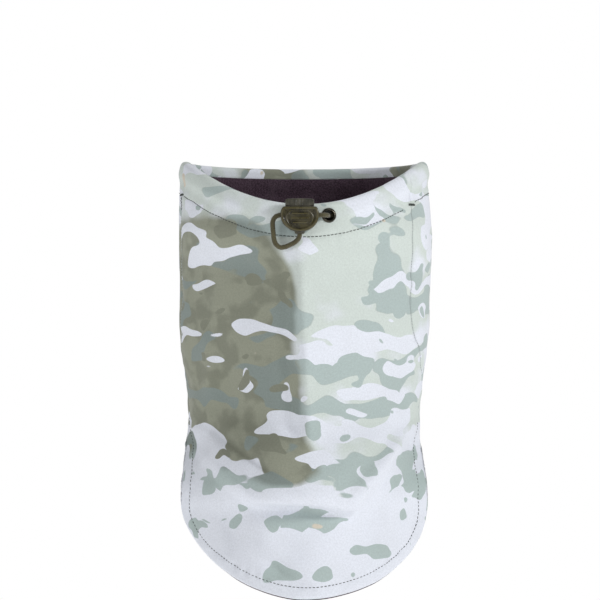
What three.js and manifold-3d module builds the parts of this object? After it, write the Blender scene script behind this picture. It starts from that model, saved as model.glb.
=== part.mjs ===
// Neck gaiter with a rounded bib: softshell outside, a dark lining inside, and an elastic drawcord in
// the top channel that leaves through one eyelet and runs through a spring cord lock.
// Millimetres, +Z up, the wearer faces -Y. The origin is the centre of the head opening, level with
// its highest edge. Left and right are as seen from the front: right is +X.
import * as THREE from 'three';
import { mergeVertices } from 'three/addons/utils/BufferGeometryUtils.js';
import Module from 'manifold-3d';

const wasm = await Module();
wasm.setup();

// Driving dimensions. A drop is a distance down from the highest edge of the head opening.
const overallHeight = 318;
const frontDip = 36;            // how far the top edge dips at the nose
const ventDrop = 193;           // where the side seams end
const bibWideDrop = 253;        // where the bib is widest
const noseDrop = 80;
const pouchDrop = 240;          // where the cloth bulges below the chin
const tuckDrop = 262;           // where it lies back on the chest
const backDrop = 245;           // lowest point of the back flap
const rimHalfWidth = 93;
const tubeHalfWidth = 96;
const waistHalfWidth = 87;
const bibHalfWidth = 91;
const bibEdgeForward = 42;      // how far the bib's side edges lie in front of the side seams
const rimDepth = 107.2;         // front half depth at the top edge
const noseDepth = 111.2;
const chinDepth = 101;
const pouchDepth = 106;
const tuckDepth = 100;
const hemDepth = 103;
const backRimDepth = 106;
const napeDepth = 93;
const backHemDepth = 96;

const shellThickness = 1.2;
const liningThickness = 0.8;
const gap = 0.3;                // clearance between touching pieces
const seamGap = 0.4;
const leftSeamTurn = -1.3;      // where the side seams meet the top edge, in radians from the front
const rightSeamTurn = 0.98;
const seamBendDrop = 110;       // below this the seams run back to the side vents
const channelDepth = 23;        // top edge to channel stitch
const turnedInDepth = 7.5;      // how far the shell is turned in over the top edge
const hemInset = 8;             // edge to hem stitch
const threadWidth = 0.8;
const tackWidth = 9;            // bar tack, across the seam
const threadThickness = 0.4;
const threadLift = shellThickness / 2 + 0.45 + threadThickness / 2;   // off the shell's middle surface

const cordDiameter = 3.5;
const cordRadius = cordDiameter / 2;
const tackRoom = 1.65;          // between the shell and the drawcord, for the thread wound round it
const facingRoom = 0.85;        // between the drawcord and the lining behind it
const cordInset = shellThickness / 2 + tackRoom + cordRadius;   // shell's middle surface to cord centre
const foldRadius = (cordInset + cordRadius + facingRoom + shellThickness / 2) / 2;
const cordDrop = 43.6;          // height of the eyelet and of the strand through the lock

const eyeletX = 17.4;
const eyeletBore = 3.5;
const eyeletRadius = 5.3;
const eyeletWall = 0.3;
const washerThickness = 0.4;

const lockX = -3.2;
const lockStandoff = 7.36;      // shell's middle surface to the cord in the lock
const lockHalfWidth = 13.75;
const lockTop = 6;
const lockBottom = 12;
const lockThickness = 10.5;
const lockTravel = 2.5;
const capWidth = 20.5;
const capDepth = 7;
const capHeight = 6.2;
const stemWidth = 15;
const stemDepth = 6.6;
const stemBar = 2.2;            // bar of the plunger under the cord
const springWire = 0.45;
const springRadius = 1.9;
const springTurns = 3;

const outerChannelRows = 3;
const foldSteps = 5;
const channelRows = 4;          // lining rows behind the channel
const halfTurn = Math.PI / 2;

// A smooth line through [drop, value] pairs.
function through(keys) {
  return (drop) => {
    if (drop <= keys[0][0]) return keys[0][1];
    for (let k = 1; k < keys.length; k += 1) {
      const [a, va] = keys[k - 1];
      const [b, vb] = keys[k];
      if (drop <= b) return va + (vb - va) * THREE.MathUtils.smoothstep(drop, a, b);
    }
    return keys[keys.length - 1][1];
  };
}

const halfWidth = through([
  [0, rimHalfWidth], [70, tubeHalfWidth], [110, tubeHalfWidth - 1],
  [ventDrop, waistHalfWidth], [bibWideDrop, bibHalfWidth],
]);
const frontDepth = through([
  [frontDip, rimDepth + 1], [noseDrop, noseDepth], [ventDrop, chinDepth],
  [pouchDrop, pouchDepth], [tuckDrop, tuckDepth], [overallHeight, hemDepth],
]);
const backDepth = through([
  [0, backRimDepth], [noseDrop, backRimDepth - 2], [ventDrop, napeDepth], [backDrop, backHemDepth],
]);
const edgeForward = through([[ventDrop, 0], [bibWideDrop, bibEdgeForward]]);

// Turn 0 is the front centre, a quarter turn is a side seam, half a turn is the nape.
const isFront = (turn) => Math.cos(turn) > -1e-9;

function topDrop(turn) {
  return isFront(turn) ? frontDip * Math.cos(turn) ** 2 : 0;
}

// Both hems are round at the flanks and come to a soft point in the middle.
function bottomDrop(turn) {
  const round = Math.sqrt(Math.max(0, 1 - (Math.sin(turn) ** 2 + 0.002) ** 0.7));
  return isFront(turn)
    ? bibWideDrop + (overallHeight - bibWideDrop) * round
    : ventDrop + (backDrop - ventDrop) * round;
}

// The shell's middle surface.
function surface(turn, drop) {
  const x = halfWidth(drop) * Math.sin(turn);
  if (!isFront(turn)) {
    return new THREE.Vector3(x, -backDepth(drop) * Math.cos(turn), -drop);
  }
  const edge = edgeForward(drop);
  const y = edge + (frontDepth(drop) - edge) * Math.cos(turn);
  return new THREE.Vector3(x, -y, -drop);
}

// Outward direction of the surface, from short steps along it that stay on the same panel.
function outward(turn, drop) {
  const step = 1e-3;
  const side = Math.cos(turn) > 0 ? -Math.sign(Math.sin(turn)) || 1 : Math.sign(Math.sin(turn)) || 1;
  const here = surface(turn, drop);
  const across = surface(turn + side * step, drop).sub(here).multiplyScalar(side);
  const down = surface(turn, drop + step).sub(surface(turn, drop - step));
  return across.cross(down).normalize().negate();
}

// A point off the surface: positive distances are outside the gaiter.
function offSurface(turn, drop, distance) {
  return surface(turn, drop).addScaledVector(outward(turn, drop), distance);
}

// Evenly spaced values, both ends included.
function spread(from, to, count) {
  return Array.from({ length: count + 1 }, (_, k) => from + ((to - from) * k) / count);
}

// A panel's turns along the top edge and along the hem. The two panels meet at the side seams.
// Both have the same rows along a seam, and the front has more below the vents.
const frontPanel = {
  top: [leftSeamTurn, rightSeamTurn],
  hem: [-halfTurn, halfTurn],
  columns: 24,
  bibRows: 8,
};
const backPanel = {
  top: [rightSeamTurn, 2 * Math.PI + leftSeamTurn],
  hem: [halfTurn, 3 * halfTurn],
  columns: 26,
  bibRows: 0,
};
const seamRows = 9;

// The turn at a share of the way across a panel, from 0 at one seam to 1 at the other.
function panelTurn(panel, share, drop) {
  const run = THREE.MathUtils.smoothstep(drop, seamBendDrop, ventDrop);
  const edge = seamGap / 2 / tubeHalfWidth;
  const low = THREE.MathUtils.lerp(panel.top[0], panel.hem[0], run) + edge;
  const high = THREE.MathUtils.lerp(panel.top[1], panel.hem[1], run) - edge;
  return THREE.MathUtils.lerp(low, high, share);
}

// The drops of a column at a share of the way across a panel: its top edge, its channel stitch and
// its rows from the hem up to the stitch.
function panelColumn(panel, share) {
  const top = topDrop(panelTurn(panel, share, 0));
  const stitch = top + channelDepth;
  const hem = bottomDrop(panelTurn(panel, share, overallHeight));
  if (panel.bibRows === 0) return { top, stitch, drops: spread(hem, stitch, seamRows) };
  const bib = spread(hem, ventDrop, panel.bibRows).slice(0, -1);
  return { top, stitch, drops: [...bib, ...spread(ventDrop, stitch, seamRows)] };
}

// One closed mesh from positions and triangles, turned to face out.
function solid(positions, triangles) {
  let volume = 0;
  const at = (k) => new THREE.Vector3().fromArray(positions, 3 * k);
  for (let k = 0; k < triangles.length; k += 3) {
    volume += at(triangles[k]).dot(at(triangles[k + 1]).cross(at(triangles[k + 2])));
  }
  if (volume < 0) triangles.reverse();
  const geometry = new THREE.BufferGeometry();
  geometry.setAttribute('position', new THREE.Float32BufferAttribute(positions, 3));
  geometry.setIndex(triangles);
  geometry.computeVertexNormals();
  return geometry;
}

function closed(geometry) {
  const plain = geometry.clone();
  plain.deleteAttribute('normal');
  plain.deleteAttribute('uv');
  const merged = mergeVertices(plain, 1e-4);
  const index = Array.from(merged.index.array);
  const triangles = [];
  for (let k = 0; k < index.length; k += 3) {
    const [a, b, c] = index.slice(k, k + 3);
    if (a !== b && b !== c && c !== a) triangles.push(a, b, c);
  }
  return solid(Array.from(merged.attributes.position.array), triangles);
}

// Gives a grid of middle points a thickness and closes its four borders.
function sheet(grid, thickness) {
  const columns = grid.length;
  const rows = grid[0].length;
  const positions = [];
  for (const face of [1, -1]) {
    for (let i = 0; i < columns; i += 1) {
      for (let j = 0; j < rows; j += 1) {
        const alongRow = grid[Math.min(i + 1, columns - 1)][j].clone().sub(grid[Math.max(i - 1, 0)][j]);
        const alongColumn = grid[i][Math.min(j + 1, rows - 1)].clone().sub(grid[i][Math.max(j - 1, 0)]);
        const normal = alongRow.cross(alongColumn).normalize();
        positions.push(...grid[i][j].clone().addScaledVector(normal, (face * thickness) / 2).toArray());
      }
    }
  }
  const outer = (i, j) => i * rows + j;
  const inner = (i, j) => columns * rows + outer(i, j);
  const triangles = [];
  const quad = (a, b, c, d) => triangles.push(a, b, c, a, c, d);
  for (let i = 0; i < columns - 1; i += 1) {
    for (let j = 0; j < rows - 1; j += 1) {
      quad(outer(i, j), outer(i + 1, j), outer(i + 1, j + 1), outer(i, j + 1));
      quad(inner(i, j), inner(i, j + 1), inner(i + 1, j + 1), inner(i + 1, j));
    }
  }
  for (let i = 0; i < columns - 1; i += 1) {
    quad(outer(i, 0), inner(i, 0), inner(i + 1, 0), outer(i + 1, 0));
    quad(outer(i, rows - 1), outer(i + 1, rows - 1), inner(i + 1, rows - 1), inner(i, rows - 1));
  }
  for (let j = 0; j < rows - 1; j += 1) {
    quad(outer(0, j), outer(0, j + 1), inner(0, j + 1), inner(0, j));
    quad(outer(columns - 1, j), inner(columns - 1, j), inner(columns - 1, j + 1), outer(columns - 1, j + 1));
  }
  return solid(positions, triangles);
}

// Boolean cuts and joins.
function manifold(geometry) {
  const body = closed(geometry);
  return new wasm.Manifold(new wasm.Mesh({
    numProp: 3,
    vertProperties: Float32Array.from(body.attributes.position.array),
    triVerts: Uint32Array.from(body.index.array),
  }));
}

function fromManifold(body) {
  const mesh = body.getMesh();
  return solid(Array.from(mesh.vertProperties), Array.from(mesh.triVerts));
}

const cut = (base, ...tools) => tools.reduce((rest, tool) => rest.subtract(manifold(tool)), base);
const join = (base, ...tools) => tools.reduce((rest, tool) => rest.add(manifold(tool)), base);

// Turns a geometry made along +Y so that +Y points outward at a place on the surface.
function seatOnSurface(geometry, turn, drop) {
  const up = new THREE.Vector3(0, 1, 0);
  const quaternion = new THREE.Quaternion().setFromUnitVectors(up, outward(turn, drop));
  const place = surface(turn, drop);
  return geometry.applyQuaternion(quaternion).translate(place.x, place.y, place.z);
}

// The shell is made of flat facets, which lie inside the true surface by up to this much.
const facetSag = noseDepth * (1 - Math.cos(halfTurn / frontPanel.columns));
const eyeletBackFace = shellThickness / 2 + facetSag + gap / 2;

const cordTurn = (x) => Math.asin(x / halfWidth(cordDrop));
const eyeletTurn = cordTurn(eyeletX);
const cordBelowEdge = cordDrop - topDrop(eyeletTurn);
const lockY = surface(cordTurn(lockX), cordDrop).y - lockStandoff;
const lockCentre = new THREE.Vector3(lockX, lockY, -cordDrop);

// Softshell panel: up from the hem, over the fold at the top edge and a little way down inside.
function shellPanel(panel) {
  const grid = spread(0, 1, panel.columns).map((share) => {
    const { top, stitch, drops } = panelColumn(panel, share);
    const foldDrop = top + foldRadius;
    const turn = panelTurn(panel, share, top);
    const rows = [...drops, ...spread(stitch, foldDrop, outerChannelRows).slice(1)];
    const column = rows.map((drop) => surface(panelTurn(panel, share, drop), drop));
    for (const angle of spread(0, Math.PI, foldSteps).slice(1)) {
      const inward = foldRadius * (1 - Math.cos(angle));
      column.push(offSurface(turn, foldDrop - foldRadius * Math.sin(angle), -inward));
    }
    column.push(offSurface(turn, top + turnedInDepth, -2 * foldRadius));
    return column;
  });
  return sheet(grid, shellThickness);
}

// Lining panel: up from the hem, close behind the shell, then away from it round the drawcord until
// it meets the shell's turned-in edge. It is the inner wall of the channel.
function liningPanel(panel) {
  const close = shellThickness / 2 + gap + liningThickness / 2;
  const grid = spread(0, 1, panel.columns).map((share) => {
    const { top, stitch, drops } = panelColumn(panel, share);
    const openDrop = top + cordBelowEdge + cordRadius + gap;
    const rows = [...drops, ...spread(stitch, top + turnedInDepth + gap, channelRows).slice(1)];
    return rows.map((drop) => {
      const open = 1 - THREE.MathUtils.smoothstep(drop, openDrop, stitch);
      return offSurface(panelTurn(panel, share, drop), drop, -close - (2 * foldRadius - close) * open);
    });
  });
  return sheet(grid, liningThickness);
}

// Thread that lies on the shell along a route of [turn, drop], with a width towards a second route.
function threadStrip(route, second) {
  const lifted = ([turn, drop]) => offSurface(turn, drop, threadLift);
  const grid = route.map((point, k) => [lifted(point), lifted(second[k])]);
  return sheet(grid, threadThickness);
}

// Along a panel's channel, with room for a bar tack at each seam.
function channelStitch(panel) {
  const room = (tackWidth / 2 + 2) / (tubeHalfWidth * (panel.top[1] - panel.top[0]));
  const turns = spread(room, 1 - room, panel.columns).map((share) => panelTurn(panel, share, 0));
  const level = (shift) => turns.map((turn) => [turn, topDrop(turn) + channelDepth + shift]);
  return threadStrip(level(-threadWidth / 2), level(threadWidth / 2));
}

// Moves a route of [turn, drop] into the panel, square to the route, by a distance on the surface.
function inset(route, distance) {
  return route.map(([turn, drop], k) => {
    const before = route[Math.max(k - 1, 0)];
    const after = route[Math.min(k + 1, route.length - 1)];
    const tangent = surface(...after).sub(surface(...before)).normalize();
    const inward = outward(turn, drop).cross(tangent).normalize().multiplyScalar(distance);
    const step = 1e-3;
    const away = Math.sin(turn) * Math.cos(turn) > 0 ? -step : step;
    const alongTurn = surface(turn + away, drop).sub(surface(turn, drop)).divideScalar(away);
    const alongDrop = surface(turn, drop + step).sub(surface(turn, drop)).divideScalar(step);
    const aa = alongTurn.dot(alongTurn);
    const ab = alongTurn.dot(alongDrop);
    const bb = alongDrop.dot(alongDrop);
    const a = inward.dot(alongTurn);
    const b = inward.dot(alongDrop);
    const scale = aa * bb - ab * ab;
    return [turn + (a * bb - b * ab) / scale, drop + (b * aa - a * ab) / scale];
  });
}

// Hem stitch of the bib: down one side, round the bottom and up the other side.
function bibHemStitch() {
  const side = spread(ventDrop + 4, bibWideDrop, 9).slice(0, -1);
  const nearSide = halfTurn - 0.001;
  const outline = [
    ...side.map((drop) => [-nearSide, drop]),
    ...spread(-nearSide, nearSide, 36).map((turn) => [turn, bottomDrop(turn)]),
    ...side.reverse().map((drop) => [nearSide, drop]),
  ];
  return threadStrip(inset(outline, hemInset - threadWidth / 2), inset(outline, hemInset + threadWidth / 2));
}

function backHemStitch() {
  const nearSide = halfTurn + 0.12;
  const outline = spread(nearSide, 2 * Math.PI - nearSide, 40).map((turn) => [turn, bottomDrop(turn)]);
  return threadStrip(inset(outline, hemInset - threadWidth / 2), inset(outline, hemInset + threadWidth / 2));
}

// Thread along or across a side seam, from one drop to another and as wide as given.
function seamThread(side, fromDrop, toDrop, rows, width) {
  const end = side < 0 ? 0 : 1;
  const seamTurn = (drop) => (panelTurn(frontPanel, end, drop) + panelTurn(backPanel, 1 - end, drop)
    + (side < 0 ? -2 * Math.PI : 0)) / 2;
  const grid = spread(fromDrop, toDrop, rows).map((drop) => [-1, 1].map((edge) => (
    offSurface(seamTurn(drop) + (edge * width) / 2 / tubeHalfWidth, drop, threadLift))));
  return sheet(grid, threadThickness);
}

// Eyelet seen along its axis: a domed front flange, a barrel through the shell and a rolled back rim.
function eyelet() {
  const face = shellThickness / 2 + gap;
  const barrel = eyeletBore + eyeletWall;
  const rolled = eyeletBackFace + washerThickness + gap;
  const profile = [
    [eyeletBore, face + 0.6], [eyeletBore + 0.5, face + 0.9], [eyeletRadius - 0.4, face + 0.6],
    [eyeletRadius, face], [barrel, face], [barrel, -rolled], [barrel + 0.7, -rolled],
    [barrel + 0.7, -rolled - gap], [eyeletBore, -rolled - gap], [eyeletBore, face + 0.6],
  ].map(([r, y]) => new THREE.Vector2(r, y));
  return seatOnSurface(closed(new THREE.LatheGeometry(profile, 24)), eyeletTurn, cordDrop);
}

function eyeletWasher() {
  const face = -eyeletBackFace;
  const back = face - washerThickness;
  const bore = eyeletBore + eyeletWall + gap;
  const profile = [[bore, face], [eyeletRadius, face], [eyeletRadius, back], [bore, back], [bore, face]]
    .map(([r, y]) => new THREE.Vector2(r, y));
  return seatOnSurface(closed(new THREE.LatheGeometry(profile, 24)), eyeletTurn, cordDrop);
}

function eyeletHole() {
  const radius = eyeletBore + eyeletWall + gap;
  return seatOnSurface(new THREE.CylinderGeometry(radius, radius, 4, 24), eyeletTurn, cordDrop);
}

// Round section swept along a curve.
function tube(curve, radius, steps, sides) {
  const section = new THREE.Shape();
  spread(0, 2 * Math.PI, sides).slice(0, -1).forEach((angle, k) => {
    const x = radius * Math.cos(angle);
    const y = radius * Math.sin(angle);
    if (k === 0) section.moveTo(x, y);
    else section.lineTo(x, y);
  });
  const settings = { steps, bevelEnabled: false, extrudePath: curve, curveSegments: 1 };
  return closed(new THREE.ExtrudeGeometry(section, settings));
}

function curveThrough(points) {
  return new THREE.CatmullRomCurve3(points.map((p) => new THREE.Vector3(...p)), false, 'centripetal');
}

// Route of the free cord: out of the channel, through the eyelet and the lock, round the pull loop
// and up into the lock's underside.
const cordLoopRoute = [
  [24.1, -100.85, -43.7], [21.0, -102.0, -43.6], [18.9, -102.8, -43.6], [17.5, -104.4, -43.6],
  [16.9, -106.4, -43.6], [16.7, -108.6, -43.6], [16.5, -111.0, -43.6], [15.9, -113.3, -43.6],
  [14.1, -115.1, -43.6], [11.4, -115.75, -43.6], [8.0, -115.75, -43.6], [0.0, -115.75, -43.6],
  [-8.0, -115.75, -43.6], [-14.0, -115.75, -43.6], [-17.4, -115.7, -43.7], [-20.6, -115.4, -45.1],
  [-22.3, -114.9, -48.2], [-22.4, -114.3, -52.0], [-21.9, -113.6, -57.0], [-21.4, -113.0, -61.2],
  [-19.9, -112.6, -64.6], [-17.0, -112.4, -66.5], [-13.6, -112.5, -66.2], [-9.8, -113.1, -64.6],
  [-6.2, -114.1, -62.6], [-3.9, -115.2, -60.0], [-3.2, -115.75, -57.0], [-3.2, -115.75, -53.4],
];

const channelPoint = (turn) => offSurface(turn, topDrop(turn) + cordBelowEdge, -cordInset).toArray();

// The drawcord round the neck, from its sewn end to where the free cord goes on.
const anchorTurn = cordTurn(7);
const handoverTurn = cordTurn(25.7);

function drawcord() {
  const route = spread(handoverTurn, 2 * Math.PI + anchorTurn, 44).map(channelPoint);
  return tube(curveThrough(route), cordRadius, 72, 8);
}

// Thread wound round the drawcord's sewn end.
function anchorTack() {
  const centre = new THREE.Vector3(...channelPoint(anchorTurn - 0.03));
  const along = new THREE.Vector3(...channelPoint(anchorTurn)).sub(centre).normalize();
  const up = new THREE.Vector3(0, 0, 1);
  const out = along.clone().cross(up).normalize();
  const turns = 3;
  const wound = spread(0, turns, turns * 10).map((turned) => {
    const angle = 2 * Math.PI * turned;
    return centre.clone()
      .addScaledVector(along, 1.1 * (turned - turns / 2))
      .addScaledVector(up, (cordRadius + 2 * gap) * Math.sin(angle))
      .addScaledVector(out, (cordRadius + 2 * gap) * Math.cos(angle));
  });
  return tube(new THREE.CatmullRomCurve3(wound), 0.25, 40, 6);
}

// Outline of the cord lock: flat on top, widest at the cord, round below.
function lockOutline(grow) {
  const shape = new THREE.Shape();
  const w = lockHalfWidth + grow;
  const top = lockTop + grow;
  const shoulder = w - 3.1;
  shape.moveTo(-shoulder, top);
  shape.lineTo(shoulder, top);
  shape.bezierCurveTo(w - 1.2, top, w, top * 0.55, w, 0);
  shape.absellipse(0, 0, w, lockBottom + grow, 0, -Math.PI, true);
  shape.bezierCurveTo(-w, top * 0.55, -w + 1.2, top, -shoulder, top);
  return shape;
}

const box = (w, d, low, high) => new THREE.BoxGeometry(w, d, high - low).translate(0, 0, (low + high) / 2);

function lockBody() {
  const bevel = 1;
  const outer = new THREE.ExtrudeGeometry(lockOutline(-bevel), {
    depth: lockThickness - 2 * bevel,
    bevelThickness: bevel,
    bevelSize: bevel,
    bevelSegments: 2,
    curveSegments: 14,
  }).rotateX(halfTurn).translate(0, lockThickness / 2 - bevel, 0);
  const recessDepth = 0.5;
  const dish = { depth: 2, bevelEnabled: false, curveSegments: 14 };
  const recess = new THREE.ExtrudeGeometry(lockOutline(-2.4), dish)
    .rotateX(halfTurn).translate(0, -lockThickness / 2 + recessDepth, 0);
  const bore = cordRadius + 0.4;
  const crossBore = new THREE.CylinderGeometry(bore, bore, 2 * lockHalfWidth + 4, 16).rotateZ(halfTurn);
  const stemFloor = -cordRadius - gap - stemBar - lockTravel - 0.25;
  const capFloor = lockTop - 0.4 - lockTravel - 0.1;
  const capPocket = box(capWidth + 2 * gap, capDepth + 2 * gap, capFloor, lockTop + 4);
  const stemPocket = box(stemWidth + 2 * gap, stemDepth + 2 * gap, stemFloor, lockTop);
  const wellDepth = 1.7;
  const wellRadius = springRadius + springWire / 2 + gap;
  const springWell = new THREE.CylinderGeometry(wellRadius, wellRadius, wellDepth + 1, 16)
    .rotateX(halfTurn).translate(0, 0, stemFloor - wellDepth + (wellDepth + 1) / 2);
  const bossLength = 1.4;
  const boss = new THREE.CylinderGeometry(bore + 1, bore + 1.6, bossLength + 2, 20)
    .rotateX(-halfTurn).translate(0, 0, -lockBottom - bossLength / 2 + 1);
  const socketTop = -lockBottom + 2.6;
  const socket = new THREE.CylinderGeometry(bore, bore, 10, 16)
    .rotateX(halfTurn).translate(0, 0, socketTop - 5);
  const ridges = [-4.4, -1.4, 1.6].map((z) => new THREE.BoxGeometry(12, recessDepth + 0.4, 1)
    .translate(0, -lockThickness / 2 + (recessDepth + 0.4) / 2 + 0.1, z - 1));
  const dished = join(cut(manifold(outer), recess), boss, ...ridges);
  const body = cut(dished, crossBore, capPocket, stemPocket, springWell, socket);
  return fromManifold(body).translate(...lockCentre.toArray());
}

function lockPlunger() {
  const capBottom = lockTop - 0.4;
  const halfCap = capWidth / 2;
  const capTop = capBottom + capHeight;
  const outline = new THREE.Shape();
  outline.moveTo(-halfCap, capBottom);
  outline.lineTo(halfCap, capBottom);
  outline.lineTo(halfCap, capTop - 1.6);
  outline.quadraticCurveTo(halfCap, capTop - 0.7, halfCap - 1.4, capTop - 0.5);
  outline.quadraticCurveTo(0, capTop + 0.5, -halfCap + 1.4, capTop - 0.5);
  outline.quadraticCurveTo(-halfCap, capTop - 0.7, -halfCap, capTop - 1.6);
  outline.closePath();
  const cap = new THREE.ExtrudeGeometry(outline, { depth: capDepth, bevelEnabled: false, curveSegments: 8 })
    .rotateX(halfTurn).translate(0, capDepth / 2, 0);
  const barTop = -cordRadius - gap;
  const stem = box(stemWidth, stemDepth, barTop - stemBar, capBottom + 1);
  const window = box(stemWidth + 2, cordDiameter + 0.8, barTop, cordRadius + gap + lockTravel);
  return fromManifold(cut(join(manifold(cap), stem), window)).translate(...lockCentre.toArray());
}

function lockSpring() {
  const top = -cordRadius - gap - stemBar - 0.1 - springWire / 2;
  const bottom = -cordRadius - gap - stemBar - lockTravel - 0.25 - 1.6 + springWire / 2;
  const coil = spread(0, springTurns, springTurns * 12).map((turned) => {
    const angle = 2 * Math.PI * turned;
    const z = bottom + ((top - bottom) * turned) / springTurns;
    const ring = new THREE.Vector3(Math.cos(angle), Math.sin(angle), 0).multiplyScalar(springRadius);
    return ring.add(lockCentre).add(new THREE.Vector3(0, 0, z));
  });
  return tube(new THREE.CatmullRomCurve3(coil), springWire / 2, 44, 6);
}

function material(color, roughness, metalness = 0) {
  return new THREE.MeshStandardMaterial({ color, roughness, metalness });
}

const group = new THREE.Group();

function add(name, geometry, look) {
  const mesh = new THREE.Mesh(geometry, look);
  mesh.name = name;
  group.add(mesh);
}

const softshell = () => material(0xcdd2cf, 0.85);
const fleece = () => material(0x3a3238, 0.95);
const thread = () => material(0x4a5048, 0.8);
const elastic = () => material(0x6f6a48, 0.8);
const lockPlastic = () => material(0x4b4630, 0.45);
const gunmetal = () => material(0x26272a, 0.3, 0.9);

add('front_shell', fromManifold(cut(manifold(shellPanel(frontPanel)), eyeletHole())), softshell());
add('back_shell', shellPanel(backPanel), softshell());
add('front_lining', liningPanel(frontPanel), fleece());
add('back_lining', liningPanel(backPanel), fleece());
add('channel_stitch_front', channelStitch(frontPanel), thread());
add('channel_stitch_back', channelStitch(backPanel), thread());
add('bib_hem_stitch', bibHemStitch(), thread());
add('back_hem_stitch', backHemStitch(), thread());
for (const [name, side, turn] of [['left', -1, leftSeamTurn], ['right', 1, rightSeamTurn]]) {
  const stitch = topDrop(turn) + channelDepth;
  add(`${name}_seam_stitch`, seamThread(side, stitch + 2, ventDrop - 2, 16, threadWidth), thread());
  add(`${name}_bar_tack`, seamThread(side, stitch - 1, stitch + 1, 1, tackWidth), thread());
}
add('eyelet', eyelet(), gunmetal());
add('eyelet_washer', eyeletWasher(), gunmetal());
add('drawcord', drawcord(), elastic());
add('cord_anchor_tack', anchorTack(), thread());
add('cord_loop', tube(curveThrough(cordLoopRoute), cordRadius, 60, 8), elastic());
add('lock_body', lockBody(), lockPlastic());
add('lock_plunger', lockPlunger(), lockPlastic());
add('lock_spring', lockSpring(), material(0x9a9a96, 0.35, 0.9));

export default group;
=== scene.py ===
import math
import bpy
import numpy as np
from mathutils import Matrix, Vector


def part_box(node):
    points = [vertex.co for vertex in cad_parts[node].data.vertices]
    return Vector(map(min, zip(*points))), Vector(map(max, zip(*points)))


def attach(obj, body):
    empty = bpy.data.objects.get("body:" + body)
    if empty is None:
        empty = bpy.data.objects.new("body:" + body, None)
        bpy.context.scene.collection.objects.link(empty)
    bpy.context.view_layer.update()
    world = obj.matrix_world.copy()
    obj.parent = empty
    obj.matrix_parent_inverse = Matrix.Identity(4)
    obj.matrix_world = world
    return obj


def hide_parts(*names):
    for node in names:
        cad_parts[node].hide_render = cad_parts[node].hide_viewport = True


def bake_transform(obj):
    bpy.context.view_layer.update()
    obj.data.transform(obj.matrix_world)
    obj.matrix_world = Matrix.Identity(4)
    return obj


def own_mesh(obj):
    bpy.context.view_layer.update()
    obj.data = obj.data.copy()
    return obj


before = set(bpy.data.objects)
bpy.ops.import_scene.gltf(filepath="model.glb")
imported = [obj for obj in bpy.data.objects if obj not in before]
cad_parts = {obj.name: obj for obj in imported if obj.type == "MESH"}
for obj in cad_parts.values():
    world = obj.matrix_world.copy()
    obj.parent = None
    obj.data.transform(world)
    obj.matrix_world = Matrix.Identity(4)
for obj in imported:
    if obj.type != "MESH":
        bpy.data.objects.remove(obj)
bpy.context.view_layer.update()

mm = 0.001
quarter = math.pi / 2


# camera
view = {"place": (-0.003, -1.82, -0.104), "lens": 144, "sensor": 36}

camera = bpy.data.objects.new("camera", bpy.data.cameras.new("camera"))
camera.location = view["place"]
camera.rotation_euler = (quarter, 0, 0)
camera.data.lens = view["lens"]
camera.data.sensor_width = view["sensor"]
bpy.context.scene.collection.objects.link(camera)
bpy.context.scene.camera = camera
bpy.context.scene.view_settings.view_transform = "Standard"
print("camera in place")


# number helpers
def smooth(value, low, high):
    # 0 below low, 1 above high, with a soft start and end
    t = np.clip((value - low) / (high - low), 0, 1)
    return t * t * (3 - 2 * t)


def hump(value, centre, width):
    # 1 at the centre, falling off as a bell
    return np.exp(-((value - centre) / width) ** 2)


def through(keys):
    # a smooth line through (drop, value) pairs
    def line(drop):
        drop = np.asarray(drop, float)
        value = np.full(drop.shape, float(keys[0][1]))
        for (a, va), (b, vb) in zip(keys, keys[1:]):
            value = value + (vb - va) * smooth(drop, a, b)
        return value
    return line


def unit(vectors):
    return vectors / np.maximum(np.linalg.norm(vectors, axis=-1, keepdims=True), 1e-12)


def ripples(points, seed, size, waves=22):
    # sum of sine waves about one size long in seeded directions, about -1 to 1
    points = np.asarray(points, float)
    rng = np.random.default_rng(seed)
    way = unit(rng.normal(size=(waves, points.shape[-1])))
    pace = 2 * np.pi / (size * rng.uniform(0.7, 1.7, waves))
    phase = rng.uniform(0, 2 * np.pi, waves)
    return np.sin(points @ (way * pace[:, None]).T + phase).sum(-1) / math.sqrt(waves)


def runAlong(route):
    # distance from a route's start to each of its points
    return np.concatenate([[0], np.cumsum(np.linalg.norm(np.diff(route, axis=0), axis=1))])


def readAlong(at, run, values):
    # the values of a route's points read off at other distances along it
    return np.stack([np.interp(at, run, column) for column in values.T], -1)


def nearest(points, route):
    # distance from each point to the closest point of a route
    flat = points.reshape(-1, 3)
    best = np.full(len(flat), 1e9)
    for part in np.array_split(route, max(1, len(route) // 60)):
        gap = (flat ** 2).sum(1)[:, None] + (part ** 2).sum(1)[None, :] - 2 * flat @ part.T
        best = np.minimum(best, gap.min(1))
    return np.sqrt(np.maximum(best, 0)).reshape(points.shape[:-1])


# the gaiter's shape, in mm
tube = {
    "height": 318.0, "frontDip": 36.0, "vent": 193.0, "bibWide": 253.0, "backDrop": 245.0,
    "seamLeft": -1.3, "seamRight": 0.98, "seamBend": 110.0, "seamGap": 0.4, "halfWidth": 96.0,
    "shell": 1.2, "lining": 0.8, "gap": 0.3, "channel": 23.0, "fold": 3.6, "turnedIn": 7.5,
    "hemInset": 8.0, "cordDrop": 43.6, "cordInset": 4.0, "cordRadius": 1.75,
}
folds = {
    "ridgeTop": (-3.0, 61.0), "ridgeFoot": (4.0, 204.0), "ridgeDepth": 0.44, "ridgeSoft": 0.045,
    "lipDrop": 252.0, "lipMiddle": 0.0, "lipHalf": 32.0, "lipBulge": 11.0, "armBulge": 5.0,
    "leftSlope": 0.74, "rightSlope": 1.15, "flatFrom": 186.0, "flatTo": 236.0,
    "drape": 0.9, "pucker": 0.55, "seamPucker": 0.5, "groove": 0.55, "flare": 9.0,
}

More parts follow.
